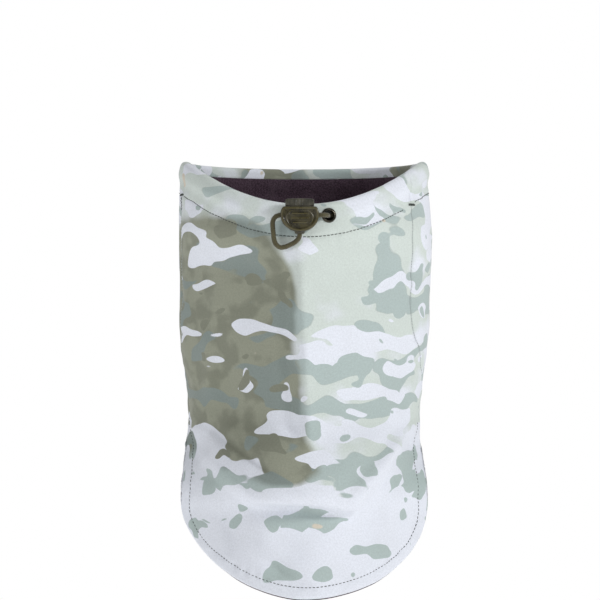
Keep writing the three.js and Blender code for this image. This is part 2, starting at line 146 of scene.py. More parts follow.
halfWidth = through([(0, 93), (70, 96), (110, 95), (193, 87), (253, 91)])
frontDepth = through([(36, 108.2), (80, 111.2), (193, 101), (240, 106), (262, 100), (318, 103)])
backDepth = through([(0, 106), (80, 104), (193, 93), (245, 96)])
edgeForward = through([(193, 0), (253, 42)])


def isFront(turn):
    return np.cos(turn) > -1e-9


def topDrop(turn):
    return np.where(isFront(turn), tube["frontDip"] * np.cos(turn) ** 2, 0.0)


def bottomDrop(turn):
    # both hems are round at the flanks and come to a soft point in the middle
    low = np.sqrt(np.maximum(0, 1 - (np.sin(turn) ** 2 + 0.002) ** 0.7))
    aside = np.sin(turn) ** 2 * (1 - 0.24 * np.sign(np.sin(turn)) * np.cos(turn) ** 2)
    full = (np.maximum(0, 1 - (aside + 0.0005) ** 0.92)) ** 0.46
    front = tube["bibWide"] + (tube["height"] - tube["bibWide"]) * full
    back = tube["vent"] + (tube["backDrop"] - tube["vent"]) * low
    return np.where(isFront(turn), front, back)


def lipLine(x):
    # drop of the pouch's V shaped lip at each x
    aside = np.maximum(np.abs(x - folds["lipMiddle"]) - folds["lipHalf"], 0)
    slope = np.where(x < folds["lipMiddle"], folds["leftSlope"], folds["rightSlope"])
    level = folds["lipDrop"] + 0.12 * np.clip(x - folds["lipMiddle"], -20, 24)
    return level - slope * (np.sqrt(aside ** 2 + 9) - 3)


def bulge(turn, drop):
    # how far the chin pouch stands forward: it swells down to its lip and falls in below it
    x = halfWidth(drop) * np.sin(turn)
    aside = np.abs(x - folds["lipMiddle"])
    lip = lipLine(x)
    side = smooth(aside, 8, 60)
    swell = folds["lipBulge"] + (folds["armBulge"] - folds["lipBulge"]) * side
    soft = 4.5 + 4.5 * side
    rise = smooth(drop, lip - 58, lip - 3)
    fall = 1 - smooth(drop, lip - 0.5 * soft, lip + soft)
    return swell * rise * fall * (1 - np.sin(turn) ** 6)


def cloth(turn, drop):
    # middle of the shell: an oval tube, with a ridge down the nose and the chin pouch in front
    turn, drop = np.broadcast_arrays(np.asarray(turn, float), np.asarray(drop, float))
    sine, cosine = np.sin(turn), np.cos(turn)
    wide = halfWidth(drop)
    (x0, d0), (x1, d1) = folds["ridgeTop"], folds["ridgeFoot"]
    ridge = x0 + (x1 - x0) * np.clip((drop - d0) / (d1 - d0), -0.3, 1.3)
    aside = sine - ridge / wide * (1 - sine ** 2)
    soft = folds["ridgeSoft"]
    tent = 1 - (np.sqrt(aside ** 2 + soft ** 2) - soft) / (math.sqrt(1 + soft ** 2) - soft)
    share = folds["ridgeDepth"] * smooth(drop, 50, 84) * (1 - smooth(drop, 188, 232))
    flat = smooth(drop, folds["flatFrom"], folds["flatTo"])     # the bib hangs flatter than the tube
    section = cosine * (1 - share) + np.clip(tent, 0, 1) * share
    flare = smooth(np.abs(sine), 0.55, 0.95)                    # and its edges turn out to face forward
    flat = np.maximum(flat, flare * smooth(drop, tube["vent"] + 1, tube["vent"] + 22))
    bib = (1 - sine ** 2) * (1 - flare) + np.maximum(1 - sine ** 2, 0) ** 1.3 * flare
    section = section * (1 - flat) + bib * flat
    edge = edgeForward(drop)
    edge = edge + folds["flare"] * smooth(drop, tube["vent"], 214) * (1 - smooth(drop, 226, 262))
    front = edge + (frontDepth(drop) - edge) * section + bulge(turn, drop)
    y = np.where(isFront(turn), -front, -backDepth(drop) * cosine)
    return np.stack([wide * sine, y, -drop], -1)


def outward(turn, drop, shape=None):
    shape = shape or cloth
    step = 1e-3
    side = np.where(np.cos(turn) > 0, -1.0, 1.0) * np.where(np.sin(turn) < 0, -1.0, 1.0)
    here = shape(turn, drop)
    across = (shape(turn + side * step, drop) - here) * side[..., None]
    down = shape(turn, drop + step) - shape(turn, drop - step)
    return -unit(np.cross(across, down))


def cadCloth(turn, drop):
    # the frame's own plain tube, which the cord, the eyelet and the lock stand on
    edge = edgeForward(drop)
    front = edge + (frontDepth(drop) - edge) * np.cos(turn)
    y = np.where(isFront(turn), -front, -backDepth(drop) * np.cos(turn))
    return np.stack(np.broadcast_arrays(halfWidth(drop) * np.sin(turn), y, -drop), -1)


def panelTurn(panel, share, drop):
    # share runs from 0 at one side seam to 1 at the other
    run = smooth(drop, tube["seamBend"], tube["vent"])
    edge = tube["seamGap"] / 2 / tube["halfWidth"]
    low = panel["top"][0] + (panel["hem"][0] - panel["top"][0]) * run + edge
    high = panel["top"][1] + (panel["hem"][1] - panel["top"][1]) * run - edge
    return low + (high - low) * share


frontPanel = {"top": (tube["seamLeft"], tube["seamRight"]), "hem": (-quarter, quarter)}
backPanel = {"top": (tube["seamRight"], 2 * math.pi + tube["seamLeft"]), "hem": (quarter, 3 * quarter)}


def cordTurn(x):
    return np.arcsin(x / halfWidth(tube["cordDrop"]))


eyeletTurn = np.asarray(cordTurn(17.4))
eyeletPlace = cadCloth(eyeletTurn, np.asarray(tube["cordDrop"]))
cordBelowEdge = tube["cordDrop"] - float(topDrop(eyeletTurn))


def seamDistance(turn, drop):
    # distance along the cloth to the nearer side seam
    ends = [panelTurn(frontPanel, share, drop) for share in (0.0, 1.0)]
    away = [np.abs(np.angle(np.exp(1j * (turn - end)))) for end in ends]
    return np.minimum(*away) * tube["halfWidth"]


def sewnDistance(turn, drop):
    # the same, but far away below the vents, where the panels aren't sewn together
    return seamDistance(turn, drop) + 40 * smooth(drop, tube["vent"] - 3, tube["vent"] + 4)


# soft creases of the worn cloth: from (x, drop) to (x, drop), height out and half width, all in mm
creases = [
    (-66, 200, 4, 245, -2.6, 4.5), (-62, 192, 0, 234, 1.8, 7), (-40, 254, 30, 257, -4.2, 4.2),
    (-26, 242, 22, 247, 1.8, 6), (-57, 248, -54, 280, -2.8, 5), (80, 198, 30, 251, 3.0, 4.5),
    (74, 194, 22, 246, -1.8, 6), (92, 214, 44, 262, -1.4, 7), (-72, 128, -67, 176, 2.0, 5),
    (-60, 130, -56, 190, -1.4, 7), (-34, 288, 4, 313, -2.2, 5), (-28, 281, 12, 306, 1.6, 5),
    (44, 262, 20, 300, -1.2, 8), (-20, 262, -34, 300, 1.0, 9), (60, 236, 66, 280, 1.0, 9),
    (-16, 268, -22, 306, -2.2, 20), (40, 268, 46, 296, 1.2, 16),
]


def creased(x, drop):
    # each crease falls off as a bell to both sides of its line, and to a third towards its ends
    total = 0
    for x0, d0, x1, d1, height, width in creases:
        along = np.clip(((x - x0) * (x1 - x0) + (drop - d0) * (d1 - d0))
                        / ((x1 - x0) ** 2 + (d1 - d0) ** 2), 0, 1)
        away = np.hypot(x - x0 - along * (x1 - x0), drop - d0 - along * (d1 - d0))
        total = total + height * hump(away, 0, width) * (0.35 + 0.65 * np.sin(np.pi * along))
    return total


def relief(turn, drop):
    # small rises and falls of the worn cloth, outward in mm
    place = cloth(turn, drop)
    below = drop - topDrop(turn)
    away = np.linalg.norm(place - eyeletPlace, axis=-1)
    calm = smooth(away, 8, 20) * (1 - 0.85 * hump(place[..., 0], -3, 24) * hump(drop, 48, 20)
                                  * isFront(turn))
    drape = folds["drape"] * ripples(place * (1.0, 1.0, 0.55), 5, 46) * smooth(below, 10, 60)
    fine = 0.22 * ripples(place, 8, 17) * smooth(below, 0, 20)
    pucker = folds["pucker"] * ripples(place * (1, 1, 0.2), 12, 12) * hump(below, tube["channel"], 8)
    cord = 1.3 * hump(below, cordBelowEdge, 4.2) - 0.5 * hump(below, 17, 4)
    seam = seamDistance(turn, drop)
    crease = folds["seamPucker"] * ripples(place * (0.2, 0.2, 1), 21, 11) * hump(seam, 0, 7)
    x = place[..., 0]
    (x0, d0), (x1, d1) = folds["ridgeTop"], folds["ridgeFoot"]
    aside = x - (x0 + (x1 - x0) * (drop - d0) / (d1 - d0))
    band = smooth(drop, 66, 96) * (1 - smooth(drop, 192, 216))
    nose = band * (1.8 * hump(aside, 1, 4.5) - 3.6 * hump(aside, -13, 7.5))
    worn = (creased(x, drop) + nose) * isFront(turn)
    crease = crease * smooth(below, 5, 22)
    return calm * (drape + fine + pucker + cord + crease + worn) * smooth(below, 0, 4)


def hemPucker(place):
    return 0.35 * ripples(place, 44, 9)


def onCloth(turn, drop, lift=0.0):
    # a place on the worn cloth, lift mm above the middle of the shell
    turn, drop = np.broadcast_arrays(np.asarray(turn, float), np.asarray(drop, float))
    return cloth(turn, drop) + outward(turn, drop) * (relief(turn, drop) + lift)[..., None]


# mesh helpers
def gridFaces(rows, columns, closedColumns=False):
    index = np.arange(rows * columns).reshape(rows, columns)
    if closedColumns:
        index = np.concatenate([index, index[:, :1]], 1)
    a, b, c, d = index[:-1, :-1], index[:-1, 1:], index[1:, 1:], index[1:, :-1]
    return np.stack([a, b, c, d], -1).reshape(-1, 4)


def addMesh(name, points, faces, uv=None, values=None, smoothShade=True):
    # points in mm; faces is a list of arrays with three, four or more corners; turned to face out
    points = np.asarray(points, float).reshape(-1, 3)
    groups = [np.asarray(group, int) for group in faces if len(group)]
    volume = 0.0
    for group in groups:
        for k in range(1, group.shape[1] - 1):
            a, b, c = (points[group[:, i]] for i in (0, k, k + 1))
            volume += (a * np.cross(b, c)).sum()
    if volume < 0:
        groups = [group[:, ::-1] for group in groups]
    corners = np.concatenate([group.ravel() for group in groups])
    sizes = np.concatenate([np.full(len(group), group.shape[1]) for group in groups])
    starts = np.concatenate([[0], np.cumsum(sizes)[:-1]])
    mesh = bpy.data.meshes.new(name)
    mesh.vertices.add(len(points))
    mesh.vertices.foreach_set("co", (points * mm).ravel())
    mesh.loops.add(len(corners))
    mesh.loops.foreach_set("vertex_index", corners)
    mesh.polygons.add(len(sizes))
    mesh.polygons.foreach_set("loop_start", starts)
    if uv is not None:
        layer = mesh.uv_layers.new(name="cloth")
        layer.data.foreach_set("uv", np.asarray(uv, float).reshape(-1, 2)[corners].ravel())
    for key, value in (values or {}).items():
        field = mesh.attributes.new(key, "FLOAT", "POINT")
        field.data.foreach_set("value", np.asarray(value, float).ravel())
    mesh.update(calc_edges=True)
    mesh.validate()
    mesh.polygons.foreach_set("use_smooth", np.full(len(mesh.polygons), smoothShade))
    made = bpy.data.objects.new(name, mesh)
    bpy.context.scene.collection.objects.link(made)
    return made


def rim(rows, columns):
    # indices once round the border of a grid
    index = np.arange(rows * columns).reshape(rows, columns)
    return np.concatenate([index[0, :-1], index[:-1, -1], index[-1, :0:-1], index[:0:-1, 0]])


def addSheet(name, middle, thickness, uv, values, roundOut=0.35):
    # a grid of middle points gets an outer and an inner face and a rounded border
    rows, columns, _ = middle.shape
    normal = unit(np.cross(np.gradient(middle, axis=0), np.gradient(middle, axis=1)))
    outer, inner = middle + normal * thickness / 2, middle - normal * thickness / 2
    border = rim(rows, columns)
    flat = middle.reshape(-1, 3)
    along = unit(np.roll(flat[border], -1, 0) - np.roll(flat[border], 1, 0))
    sideways = np.cross(along, normal.reshape(-1, 3)[border])
    inside = flat.mean(0)
    sign = np.sign(((flat[border] - inside) * sideways).sum(1).mean()) or 1
    ring = flat[border] + sign * sideways * thickness * roundOut
    count, edge = rows * columns, len(border)
    follow = np.roll(np.arange(edge), -1)
    ringIndex = 2 * count + np.arange(edge)
    one = np.stack([border, border[follow], ringIndex[follow], ringIndex], -1)
    two = np.stack([ringIndex, ringIndex[follow], count + border[follow], count + border], -1)
    face = gridFaces(rows, columns)
    faces = [np.concatenate([face[:, ::-1], face + count, one, two])]
    everyUv = np.concatenate([uv.reshape(-1, 2), uv.reshape(-1, 2), uv.reshape(-1, 2)[border]])
    fields = {key: np.concatenate([value.ravel(), value.ravel(), value.ravel()[border]])
              for key, value in values.items()}
    fields["cutEdge"] = np.concatenate([np.zeros(2 * count), np.ones(edge)])
    return addMesh(name, np.concatenate([outer.reshape(-1, 3), inner.reshape(-1, 3), ring]),
                   faces, everyUv, fields)


def addRings(name, rings, uv=None, wearAndPaintedHighlight=None):
    # rings of points carried along a path, each end closed with a fan round its middle
    rings = np.asarray(rings, float)
    rows, columns, _ = rings.shape
    count, last = rows * columns, (rows - 1) * columns
    here, after = np.arange(columns), np.roll(np.arange(columns), -1)
    fans = np.concatenate([
        np.stack([np.full(columns, count), after, here], -1),
        np.stack([np.full(columns, count + 1), last + here, last + after], -1)])
    points = np.concatenate([rings.reshape(-1, 3), rings[0].mean(0)[None], rings[-1].mean(0)[None]])
    if uv is not None:
        uv = np.concatenate([uv.reshape(-1, 2), uv[0].mean(0)[None], uv[-1].mean(0)[None]])
    values = None if wearAndPaintedHighlight is None else {"wearAndPaintedHighlight": np.append(wearAndPaintedHighlight, (0, 0))}
    return addMesh(name, points, [gridFaces(rows, columns, closedColumns=True), fans], uv, values)


def combine(piece, operation, tools):
    # exact cuts or joins, applied to the piece's own mesh; the tools are removed
    for tool in tools:
        step = piece.modifiers.new(tool.name, "BOOLEAN")
        step.operation, step.solver, step.object = operation, "EXACT", tool
        bpy.context.view_layer.update()
        solved = piece.evaluated_get(bpy.context.evaluated_depsgraph_get())
        shaped = bpy.data.meshes.new_from_object(solved)
        piece.modifiers.clear()
        old, piece.data = piece.data, shaped
        bpy.data.meshes.remove(old)
        bpy.data.objects.remove(tool)
    return piece


def finishPiece(piece, material, body, slot, *nodes):
    piece.data.materials.clear()
    piece.data.materials.append(material)
    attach(piece, body)
    if nodes:
        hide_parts(*nodes)
    return piece


# shader helpers
def node(tree, kind, inputs=(), **props):
    made = tree.nodes.new("ShaderNode" + kind)
    for name, value in props.items():
        setattr(made, name, value)
    for key, value in (inputs.items() if isinstance(inputs, dict) else enumerate(inputs)):
        if isinstance(value, bpy.types.NodeSocket):
            tree.links.new(value, made.inputs[key])
        elif value is not None:
            made.inputs[key].default_value = value
    return made


def calc(tree, operation, *values):
    return node(tree, "Math", values, operation=operation).outputs[0]


def ramp(tree, value, low, high, start=0.0, end=1.0):
    made = node(tree, "MapRange", (value, low, high, start, end), interpolation_type="SMOOTHSTEP")
    return made.outputs[0]


def blend(tree, factor, first, second):
    return node(tree, "Mix", {0: factor, 6: first, 7: second}, data_type="RGBA").outputs[2]


def noise(tree, vector, scale, detail=2.0, rough=0.5, flat=False):
    inputs = {"Vector": vector, "Scale": scale, "Detail": detail, "Roughness": rough}
    made = node(tree, "TexNoise", inputs, noise_dimensions="2D" if flat else "3D")
    return made.outputs["Fac"]


def mapped(tree, vector, scale=(1, 1, 1), turn=0.0, shift=(0, 0, 0)):
    inputs = {"Vector": vector, "Scale": scale, "Rotation": (0, 0, turn), "Location": shift}
    return node(tree, "Mapping", inputs).outputs[0]


def colour(red, green, blue):
    # screen colour to the linear value a shader takes
    part = np.array([red, green, blue]) / 255
    line = np.where(part <= 0.04045, part / 12.92, ((part + 0.055) / 1.055) ** 2.4)
    return (*line.tolist(), 1.0)


def startGroup(name, inputs, outputs):
    tree = bpy.data.node_groups.new(name, "ShaderNodeTree")
    kinds = {"value": "NodeSocketFloat", "vector": "NodeSocketVector", "colour": "NodeSocketColor"}
    for label, kind in inputs:
        tree.interface.new_socket(name=label, in_out="INPUT", socket_type=kinds[kind])
    for label, kind in outputs:
        tree.interface.new_socket(name=label, in_out="OUTPUT", socket_type=kinds[kind])
    return tree, tree.nodes.new("NodeGroupInput").outputs, tree.nodes.new("NodeGroupOutput").inputs


def useGroup(tree, group, inputs):
    made = tree.nodes.new("ShaderNodeGroup")
    made.node_tree = group
    for key, value in inputs.items():
        if isinstance(value, bpy.types.NodeSocket):
            tree.links.new(value, made.inputs[key])
        else:
            made.inputs[key].default_value = value
    return made.outputs


def startMaterial(name, **fixed):
    made = bpy.data.materials.new(name)
    made.use_nodes = True
    tree = made.node_tree
    shader = tree.nodes["Principled BSDF"]
    for key, value in fixed.items():
        shader.inputs[key.replace("_", " ")].default_value = value
    return made, tree, shader


def connect(tree, shader, tone, rough, height, strength, distance):
    # colour, roughness and bump of one finish
    bump = node(tree, "Bump", {"Strength": strength, "Distance": distance, "Height": height})
    for value, name in ((tone, "Base Color"), (rough, "Roughness"), (bump.outputs[0], "Normal")):
        tree.links.new(value, shader.inputs[name])


# woven or knitted face: crossing ribs with a fine fuzz
weave, into, out = startGroup(
    "weave", [("Vector", "vector"), ("Ribs", "value"), ("Fuzz", "value")],
    [("Height", "value"), ("Fleck", "value")])
ribs = {"Vector": into["Vector"], "Scale": into["Ribs"], "Distortion": 0.6, "Detail": 1.0,
        "Detail Scale": 1.5}
warpRib, weftRib = (node(weave, "TexWave", ribs, bands_direction=way).outputs["Fac"] for way in "XY")
fuzz = noise(weave, into["Vector"], into["Fuzz"], 3.0, 0.6)
crossed = calc(weave, "MULTIPLY", calc(weave, "MAXIMUM", warpRib, weftRib), 0.55)
weave.links.new(calc(weave, "ADD", crossed, calc(weave, "MULTIPLY", fuzz, 0.75)), out["Height"])
weave.links.new(ramp(weave, fuzz, 0.34, 0.66), out["Fleck"])

# fine moulded or worn grain, and a few handling scratches
grain, into, out = startGroup(
    "grain", [("Vector", "vector"), ("Scale", "value")],
    [("Height", "value"), ("Smudge", "value"), ("Scratch", "value")])
pits = noise(grain, into["Vector"], into["Scale"], 4.0, 0.6)
smudge = noise(grain, into["Vector"], calc(grain, "MULTIPLY", into["Scale"], 0.07), 3.0, 0.55)
streak = noise(grain, mapped(grain, into["Vector"], (1, 1, 14), 0.6), calc(
    grain, "MULTIPLY", into["Scale"], 0.22), 2.0, 0.6)
grain.links.new(pits, out["Height"])
grain.links.new(ramp(grain, smudge, 0.35, 0.65), out["Smudge"])
grain.links.new(ramp(grain, streak, 0.66, 0.72), out["Scratch"])

# slow unevenness that every cloth and cord here has from handling and dust
dust, into, out = startGroup("dust", [("Vector", "vector"), ("Scale", "value")], [("Mask", "value")])
broad = noise(dust, into["Vector"], into["Scale"], 4.0, 0.6)
dust.links.new(ramp(dust, broad, 0.42, 0.7), out["Mask"])

camo = {
    "snow": colour(221, 225, 234), "sage": colour(200, 209, 204), "olive": colour(144, 147, 131),
    "oliveDeep": colour(126, 129, 114), "blotch": colour(170, 184, 182),
    "blotchDeep": colour(130, 141, 137), "tan": colour(205, 196, 180), "line": colour(128, 142, 138),
    "core": colour(226, 226, 228),
}


def camoMaterial():
    # soft shaded ground, hard edged blotches with a thin outline, and white splinters over them;
    # the panels carry how much of each there is as attributes
    made, tree, shader = startMaterial(
        "printedSoftshell", Roughness=0.72, Sheen_Weight=0.18, Sheen_Roughness=0.45,
        Specular_IOR_Level=0.35)
    uv = node(tree, "UVMap", uv_map="cloth").outputs[0]
    field = {name: node(tree, "Attribute", attribute_name=name).outputs["Fac"]
             for name in ("olive", "snow", "blotch", "shade", "bib", "cutEdge")}
    warp = node(tree, "TexNoise", {"Vector": uv, "Scale": 34.0, "Detail": 0.5}, noise_dimensions="2D")
    off = node(tree, "VectorMath", {0: warp.outputs["Color"], 1: (0.5, 0.5, 0.5)}, operation="SUBTRACT")
    scaled = node(tree, "VectorMath", {0: off.outputs[0], 3: 0.012}, operation="SCALE")
    bent = node(tree, "VectorMath", {0: uv, 1: scaled.outputs[0]}, operation="ADD").outputs[0]

    ground = noise(tree, mapped(tree, uv, (1, 1.3, 1)), 26.0, 2.0, 0.5, flat=True)
    oliveMask = ramp(tree, calc(tree, "ADD", field["olive"], calc(
        tree, "MULTIPLY", calc(tree, "SUBTRACT", ground, 0.5), 0.45)), 0.3, 0.62)
    deep = noise(tree, mapped(tree, uv, (1, 1.2, 1), shift=(3.1, 0.7, 0)), 42.0, 2.0, 0.5, flat=True)
    oliveTone = blend(tree, ramp(tree, deep, 0.42, 0.62), camo["olive"], camo["oliveDeep"])
    paleTone = blend(tree, ramp(tree, calc(tree, "ADD", ground, calc(
        tree, "MULTIPLY", field["shade"], 0.5)), 0.55, 0.85), camo["snow"], camo["sage"])
    look = blend(tree, oliveMask, paleTone, oliveTone)

    def hardMask(pattern, share, gain=1.3):
        # the panel's own share plus the pattern, cut off with a clean printed edge
        centred = calc(tree, "SUBTRACT", pattern, 0.5)
        level = calc(tree, "ADD", share, calc(tree, "MULTIPLY", centred, gain))
        return level, ramp(tree, level, 0.492, 0.508)

    torn = noise(tree, mapped(tree, bent, (1, 1.4, 1), 0.0, (0.77, 0.05, 0)), 36.0, 1.0, 0.4, flat=True)
    level, mask = hardMask(torn, field["bib"], 0.5)
    look = blend(tree, mask, look, camo["snow"])

    patch = noise(
        tree, mapped(tree, bent, (1, 1.9, 1), 0.1, (0.31, 0.17, 0)), 27.0, 1.0, 0.4, flat=True)
    level, mask = hardMask(patch, field["blotch"])
    rimLine = calc(tree, "MULTIPLY", ramp(tree, level, 0.478, 0.49),
                   ramp(tree, level, 0.5, 0.512, 1.0, 0.0))
    tone = blend(tree, oliveMask, camo["blotch"], camo["blotchDeep"])
    look = blend(tree, mask, look, tone)
    look = blend(tree, calc(tree, "MULTIPLY", rimLine, 0.3), look, camo["line"])

    shard = noise(tree, mapped(tree, bent, (0.8, 2.2, 1), -0.2, (0.83, 0.4, 0)), 29.0, 1.0, 0.4, flat=True)
    level, mask = hardMask(shard, field["snow"])
    look = blend(tree, mask, look, camo["snow"])

    small = noise(tree, mapped(tree, bent, (1, 1.6, 1), 0.3, (0.12, 0.93, 0)), 44.0, 0.6, 0.4, flat=True)
    level, mask = hardMask(small, calc(tree, "MULTIPLY", field["blotch"], 0.7), 1.1)
    look = blend(tree, mask, look, blend(tree, oliveMask, camo["blotch"], camo["oliveDeep"]))
    spot = noise(tree, mapped(tree, bent, (1, 1.2, 1), 0.9, (0.55, 0.21, 0)), 34.0, 0.6, 0.4, flat=True)
    look = blend(tree, ramp(tree, spot, 0.845, 0.855), look, camo["tan"])

    woven = useGroup(tree, weave, {"Vector": uv, "Ribs": 520.0, "Fuzz": 1400.0})
    glint = noise(tree, uv, 640.0, 2.0, 0.6, flat=True)
    bright = calc(tree, "ADD", 0.86, calc(tree, "ADD", calc(
        tree, "MULTIPLY", woven["Fleck"], 0.08), calc(tree, "MULTIPLY", glint, 0.22)))
    speck = node(tree, "HueSaturation", {"Value": bright, "Color": look}).outputs[0]
    soil = useGroup(tree, dust, {"Vector": uv, "Scale": 38.0})["Mask"]
    soiled = blend(tree, calc(tree, "MULTIPLY", soil, 0.05), speck, colour(150, 148, 140))
    connect(tree, shader, blend(tree, field["cutEdge"], soiled, camo["core"]),
            ramp(tree, woven["Fleck"], 0.0, 1.0, 0.78, 0.64), woven["Height"], 0.35, 0.00018)
    return made


def fleeceMaterial():
    made, tree, shader = startMaterial("plumFleece", Sheen_Weight=0.5, Sheen_Roughness=0.5,
                                       Specular_IOR_Level=0.2)
    shader.inputs["Sheen Tint"].default_value = colour(150, 120, 140)
    place = node(tree, "TexCoord").outputs["Object"]
    woven = useGroup(tree, weave, {"Vector": place, "Ribs": 260.0, "Fuzz": 1100.0})
    soil = useGroup(tree, dust, {"Vector": place, "Scale": 60.0})["Mask"]
    nap = blend(tree, woven["Fleck"], colour(44, 34, 41), colour(78, 62, 74))
    connect(tree, shader, blend(tree, calc(tree, "MULTIPLY", soil, 0.25), nap, colour(92, 80, 88)),
            ramp(tree, woven["Fleck"], 0.0, 1.0, 0.98, 0.86), woven["Height"], 0.8, 0.0006)
    return made


def threadMaterial(name, dark, pale):
    made, tree, shader = startMaterial(name, Sheen_Weight=0.2, Specular_IOR_Level=0.4)
    place = node(tree, "TexCoord").outputs["Object"]
    ply = node(tree, "TexWave", {"Vector": place, "Scale": 700.0, "Distortion": 2.0},
               bands_direction="DIAGONAL").outputs["Fac"]
    soil = useGroup(tree, dust, {"Vector": place, "Scale": 120.0})["Mask"]
    mixed = blend(tree, ply, dark, pale)
    connect(tree, shader, blend(tree, calc(tree, "MULTIPLY", soil, 0.3), mixed, pale),
            ramp(tree, ply, 0.0, 1.0, 0.8, 0.55), ply, 0.6, 0.0001)
    return made


def cordMaterial():
    # braided cover: two families of strands wind round the cord in opposite ways; the hollows between them
    # get painted shade
    made, tree, shader = startMaterial("braidedElastic", Sheen_Weight=0.25, Specular_IOR_Level=0.4)
    uv = node(tree, "UVMap", uv_map="cloth").outputs[0]
    split = node(tree, "SeparateXYZ", (uv,)).outputs
    along = calc(tree, "MULTIPLY", split[0], 2 * math.pi / 0.0026)
    around = calc(tree, "MULTIPLY", split[1], 2 * math.pi * 5)
    one = calc(tree, "ABSOLUTE", calc(tree, "SINE", calc(tree, "ADD", along, around)))
    two = calc(tree, "ABSOLUTE", calc(tree, "SINE", calc(tree, "SUBTRACT", along, around)))
    over = calc(tree, "MAXIMUM", one, two)
    woven = useGroup(tree, weave, {"Vector": uv, "Ribs": 900.0, "Fuzz": 2400.0})
    place = node(tree, "TexCoord").outputs["Object"]
    soil = useGroup(tree, dust, {"Vector": place, "Scale": 140.0})["Mask"]
    # near black in the hollows between the strands' crowns is painted shade
    braidWithPaintedShade = blend(tree, ramp(tree, over, 0.55, 1.0), colour(18, 17, 8), colour(84, 77, 42))
    dyed = blend(tree, calc(tree, "MULTIPLY", woven["Fleck"], 0.35), braidWithPaintedShade, colour(70, 65, 38))
    height = calc(tree, "ADD", over, calc(tree, "MULTIPLY", woven["Height"], 0.25))
    connect(tree, shader, blend(tree, calc(tree, "MULTIPLY", soil, 0.25), dyed, colour(104, 98, 68)),
            ramp(tree, over, 0.4, 1.0, 0.85, 0.6), height, 0.9, 0.00035)
    return made


def hardMaterial(name, base, worn, rough, scale, metallic=0.0):
    # plastic or metal, paler and rougher where handled and on what stands up (wear there plus painted
    # highlight)
    made, tree, shader = startMaterial(name, Metallic=metallic)
    place = node(tree, "TexCoord").outputs["Object"]
    marks = useGroup(tree, grain, {"Vector": place, "Scale": scale})
    soil = useGroup(tree, dust, {"Vector": place, "Scale": 160.0})["Mask"]
    wearAndPaintedHighlight = node(tree, "Attribute", attribute_name="wearAndPaintedHighlight").outputs["Fac"]
    # the worn colour laid on what stands up is partly edge wear and partly painted highlight
    shade = blend(tree, calc(tree, "MAXIMUM", calc(tree, "MULTIPLY", marks["Smudge"], 0.35), calc(
        tree, "MULTIPLY", ramp(tree, wearAndPaintedHighlight, 0.1, 1.0), calc(tree, "ADD", 0.1, calc(
            tree, "MULTIPLY", marks["Height"], 1.1)))), base, worn)
    dusty = blend(tree, calc(tree, "MULTIPLY", soil, 0.12), shade, colour(150, 146, 128))
    connect(tree, shader, blend(tree, calc(tree, "MULTIPLY", marks["Scratch"], 0.3), dusty, worn),
            ramp(tree, marks["Smudge"], 0.0, 1.0, rough - 0.06, rough + 0.1), marks["Height"],
            0.4, 0.00006)
    return made


softshell = camoMaterial()
fleece = fleeceMaterial()
darkThread = threadMaterial("darkThread", colour(34, 40, 36), colour(70, 78, 72))
paleThread = threadMaterial("paleThread", colour(150, 158, 156), colour(196, 202, 202))
elastic = cordMaterial()
# on the lock and the plunger the worn colour is partly wear and partly painted highlight
lockPlastic = hardMaterial("lockPlastic", colour(30, 27, 14), colour(92, 84, 40), 0.3, 2600.0)
plungerPlastic = hardMaterial("plungerPlastic", colour(38, 37, 27), colour(78, 74, 56), 0.4, 2600.0)
gunmetal = hardMaterial("gunmetal", colour(46, 46, 44), colour(104, 98, 84), 0.26, 1800.0, 1.0)
springSteel = hardMaterial("springSteel", colour(150, 150, 146), colour(186, 184, 178), 0.3, 1500.0, 1.0)
print("materials made")


# free cord
cord = {"diameter": 0.0035, "length": 0.101, "ring": 20, "step": 0.35, "turnFrom": 42.0, "turnTo": 52.0}
cordRoute = [
    (0.0241, -0.10085, -0.0437), (0.0210, -0.1020, -0.0436), (0.0189, -0.1028, -0.0436),
    (0.0175, -0.1044, -0.0436), (0.0169, -0.1064, -0.0436), (0.0167, -0.1086, -0.0436),
    (0.0165, -0.1110, -0.0436), (0.0159, -0.1133, -0.0436), (0.0141, -0.1151, -0.0436),
    (0.0114, -0.11575, -0.0436), (0.0080, -0.11575, -0.0436), (0.0, -0.11575, -0.0436),
    (-0.0080, -0.11575, -0.0436), (-0.0140, -0.11575, -0.0436), (-0.0174, -0.1157, -0.0437),
    (-0.0206, -0.1154, -0.0451), (-0.0223, -0.1149, -0.0482), (-0.0224, -0.1143, -0.0520),
    (-0.0219, -0.1136, -0.0570), (-0.0214, -0.1130, -0.0612), (-0.0199, -0.1126, -0.0646),
    (-0.0170, -0.1124, -0.0665), (-0.0136, -0.1125, -0.0662), (-0.0098, -0.1131, -0.0646),
    (-0.0062, -0.1141, -0.0626), (-0.0039, -0.1152, -0.0600), (-0.0032, -0.11575, -0.0570),
    (-0.0032, -0.11575, -0.0534),
]


def smoothRoute(points, step):
    # centripetal curve through the points, resampled at even steps, all in mm
    points = np.asarray(points, float)
    ends = [2 * points[0] - points[1], 2 * points[-1] - points[-2]]
    every = np.concatenate([ends[:1], points, ends[1:]])
    a, b, c, d = (every[k:len(every) - 3 + k][:, None, :] for k in range(4))
    gap = [np.sqrt(np.linalg.norm(q - p, axis=-1, keepdims=True)) for p, q in ((a, b), (b, c), (c, d))]
    t1, t2, t3 = gap[0], gap[0] + gap[1], gap[0] + gap[1] + gap[2]
    t = t1 + (t2 - t1) * np.linspace(0, 1, 24, endpoint=False)[None, :, None]
    a1, a2 = a + (b - a) * t / t1, b + (c - b) * (t - t1) / (t2 - t1)
    a3 = c + (d - c) * (t - t2) / (t3 - t2)
    b1, b2 = a1 + (a2 - a1) * t / t2, a2 + (a3 - a2) * (t - t1) / (t3 - t1)
    fine = (b1 + (b2 - b1) * (t - t1) / (t2 - t1)).reshape(-1, 3)
    fine = np.concatenate([fine, points[-1:]])
    run = runAlong(fine)
    even = np.linspace(0, run[-1], int(run[-1] / step) + 1)
    return readAlong(even, run, fine), even


